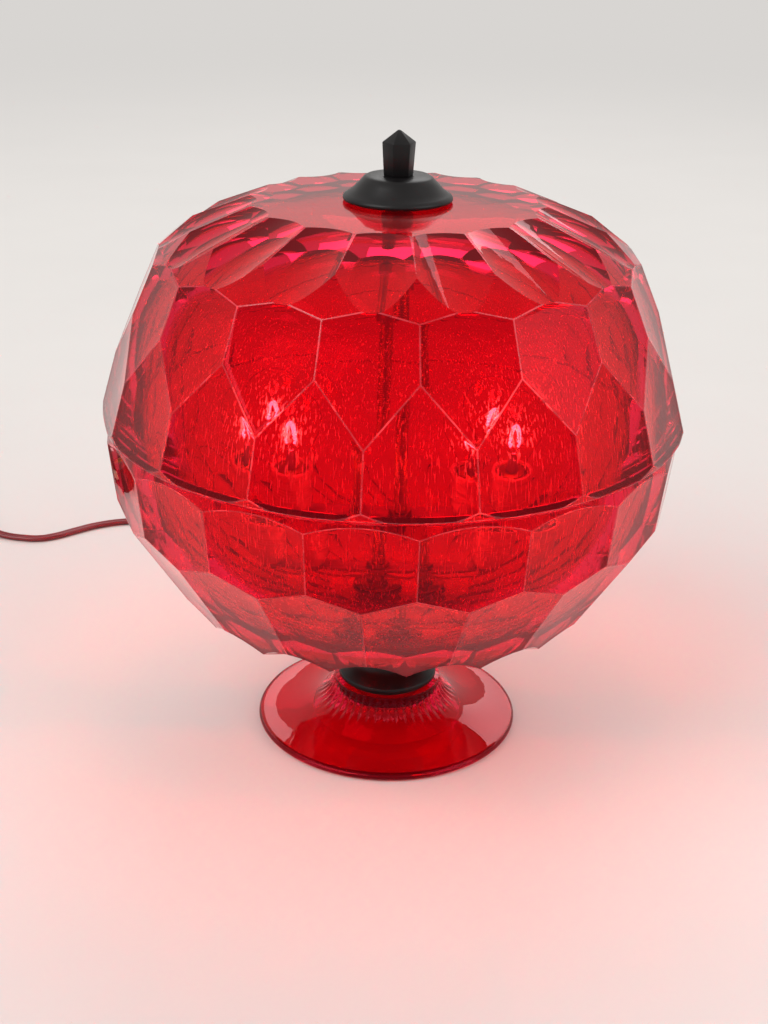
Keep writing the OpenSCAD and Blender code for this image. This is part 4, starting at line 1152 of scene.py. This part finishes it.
def relief_outline():
    """The strain relief from its shank to its tip: a flange, then a ribbed taper."""
    points = [(0, bushing_low.y), (RELIEF_SHANK_R, bushing_low.y), (RELIEF_SHANK_R, RELIEF_FLANGE_Y)]
    points += [(RELIEF_FLANGE_R, RELIEF_FLANGE_Y), (RELIEF_FLANGE_R, RELIEF_FLANGE_Y + 2.2)]
    for i in range(RELIEF_RIBS):
        at = RELIEF_FLANGE_Y + 3.2 + i * RELIEF_RIB_PITCH
        wide = 4.8 - 1.3 * i / RELIEF_RIBS
        narrow = wide - RELIEF_GROOVE
        points += [(wide, at), (wide, at + 1.9), (narrow, at + 2.2), (narrow, at + 3.3)]
    return points + [(3.4, bushing_high.y - 0.6), (3.2, bushing_high.y), (0, bushing_high.y)]


relief_bm = turned(relief_outline(), 40, closed=False, round_mm=0.2)
lying = Matrix.Rotation(-math.pi / 2, 3, "X")
bmesh.ops.rotate(relief_bm, cent=(0, 0, 0), matrix=lying, verts=relief_bm.verts)
bmesh.ops.translate(relief_bm, vec=(0, 0, outlet_z), verts=relief_bm.verts)
piece("strain_relief", relief_bm, "stand", rubber, ("cord_bushing",), smooth=50)

switch_bottom = rounded_copy("switch_bottom", "switch_base", "stand", fitting, width=0.5)
switch_top = rounded_copy("switch_top", "switch_cover", "stand", fitting, width=0.6)
switch_screw = rounded_copy("switch_slotted_screw", "switch_screw", "stand", brass, width=0.15)

wheel_low, wheel_high = span("switch_wheel")
wheel_x = (wheel_low.x + wheel_high.x) / 2
wheel_y = (wheel_low.y + wheel_high.y) / 2
wheel_r = (wheel_high.x - wheel_low.x) / 2
WHEEL_BEVEL = 0.6
KNURL = 0.35
KNURL_RISE = 0.9 * KNURL
KNURL_STEPS = 72
POST_R = 2.06
wheel_bm = turned([
    (POST_R, wheel_low.z), (wheel_r - 1, wheel_low.z), (wheel_r - KNURL, wheel_low.z + WHEEL_BEVEL),
    (wheel_r - KNURL, wheel_high.z - WHEEL_BEVEL), (wheel_r - 1, wheel_high.z), (POST_R, wheel_high.z),
], KNURL_STEPS)
rim_faces = [
    f for f in wheel_bm.faces
    if abs(f.normal.z) < 0.1 and f.calc_center_median().xy.length > wheel_r - 1
]
rim_faces.sort(key=lambda f: math.atan2(f.calc_center_median().y, f.calc_center_median().x))
for knurl in bmesh.ops.extrude_discrete_faces(wheel_bm, faces=rim_faces[::2])["faces"]:
    out = knurl.normal.copy()
    bmesh.ops.translate(wheel_bm, vec=out * KNURL_RISE, verts=knurl.verts)
bmesh.ops.translate(wheel_bm, vec=(wheel_x, wheel_y, 0), verts=wheel_bm.verts)
wheel = piece("knurled_wheel", wheel_bm, "thumb_wheel", ivory, ("switch_wheel",), smooth=25)

plug = rounded_copy("plug_moulding", "plug_body", "stand", fitting, width=0.5)
blades = rounded_copy("plug_pins", "plug_blades", "stand", brass, width=0.3)
tie = rounded_copy("cord_strap", "cord_tie", "stand", rubber, width=0.25)


# Floor, studio light and surround

BACKDROP = "D8D5D2"
# Metres from the lamp at which the floor starts to fade, and has faded, into the backdrop
FADE_FROM = 0.7
FADE_TO = 2.8
FLOOR_SIZE = 12.0
FLOOR_DROP = 0.0002
SURROUND_LIGHT = 0.62
LAMP_AIM = Vector((0, 0, 0.14))
BOUNCES = 24


def seen_ray(tree):
    """1 for rays that show the backdrop, straight or in metal and glass, and 0 for those that only light."""
    path = add(tree, "ShaderNodeLightPath").outputs
    camera_or_glossy = calc(tree, "MAXIMUM", path["Is Camera Ray"], path["Is Glossy Ray"])
    return calc(tree, "MAXIMUM", camera_or_glossy, path["Is Transmission Ray"])


def pale_floor():
    """Matt pale paper, very slightly mottled, that runs out into the backdrop far from the lamp."""
    material, tree, where = new_material("pale_studio_floor")
    mottle = noise(tree, where, 160, 3.0)
    paper = principled(tree, {
        "Base Color": between(tree, mottle, "D6D2CE", "DCD8D4"), "Roughness": 0.85,
    })
    away = add(tree, "ShaderNodeVectorMath", {0: where}, operation="LENGTH").outputs["Value"]
    fade = add(tree, "ShaderNodeMapRange", {
        "Value": away, "From Min": FADE_FROM, "From Max": FADE_TO,
    }, interpolation_type="SMOOTHERSTEP").outputs["Result"]
    shown = calc(tree, "MULTIPLY", fade, seen_ray(tree))
    glow = add(tree, "ShaderNodeEmission", {"Color": linear(BACKDROP), "Strength": 1.0}).outputs["Emission"]
    show(tree, mixed(tree, shown, paper, glow))
    return material


floor_bm = bmesh.new()
bmesh.ops.create_grid(floor_bm, x_segments=1, y_segments=1, size=FLOOR_SIZE)
floor_mesh = bpy.data.meshes.new("floor")
floor_bm.to_mesh(floor_mesh)
floor_bm.free()
floor_mesh.materials.append(pale_floor())
floor = placed("floor", floor_mesh)
floor.location.z = -FLOOR_DROP

world = bpy.data.worlds.new("studio")
bpy.context.scene.world = world
world.use_nodes = True
sky = world.node_tree
sky.nodes.clear()
lighting = add(sky, "ShaderNodeBackground", {"Color": linear("FFFFFF"), "Strength": SURROUND_LIGHT})
backdrop = add(sky, "ShaderNodeBackground", {"Color": linear(BACKDROP), "Strength": 1.0})
either = mixed(sky, seen_ray(sky), lighting.outputs["Background"], backdrop.outputs["Background"])
add(sky, "ShaderNodeOutputWorld", {"Surface": either})


def softbox(name, place, size, power):
    """A square studio lamp aimed at the globe."""
    lamp = bpy.data.lights.new(name, "AREA")
    lamp.shape = "SQUARE"
    lamp.size = size
    lamp.energy = power
    obj = placed(name, lamp)
    obj.location = place
    obj.rotation_euler = (LAMP_AIM - Vector(place)).to_track_quat("-Z", "Y").to_euler()


softbox("key", (-2.0, -1.4, 2.6), size=2.4, power=60)
softbox("fill", (2.2, -1.0, 1.8), size=2.0, power=22)
softbox("back", (0.4, 2.6, 2.4), size=2.0, power=30)

bpy.context.scene.view_settings.view_transform = "Standard"
bpy.context.scene.cycles.max_bounces = BOUNCES
bpy.context.scene.cycles.transmission_bounces = BOUNCES
bpy.context.scene.cycles.transparent_max_bounces = BOUNCES
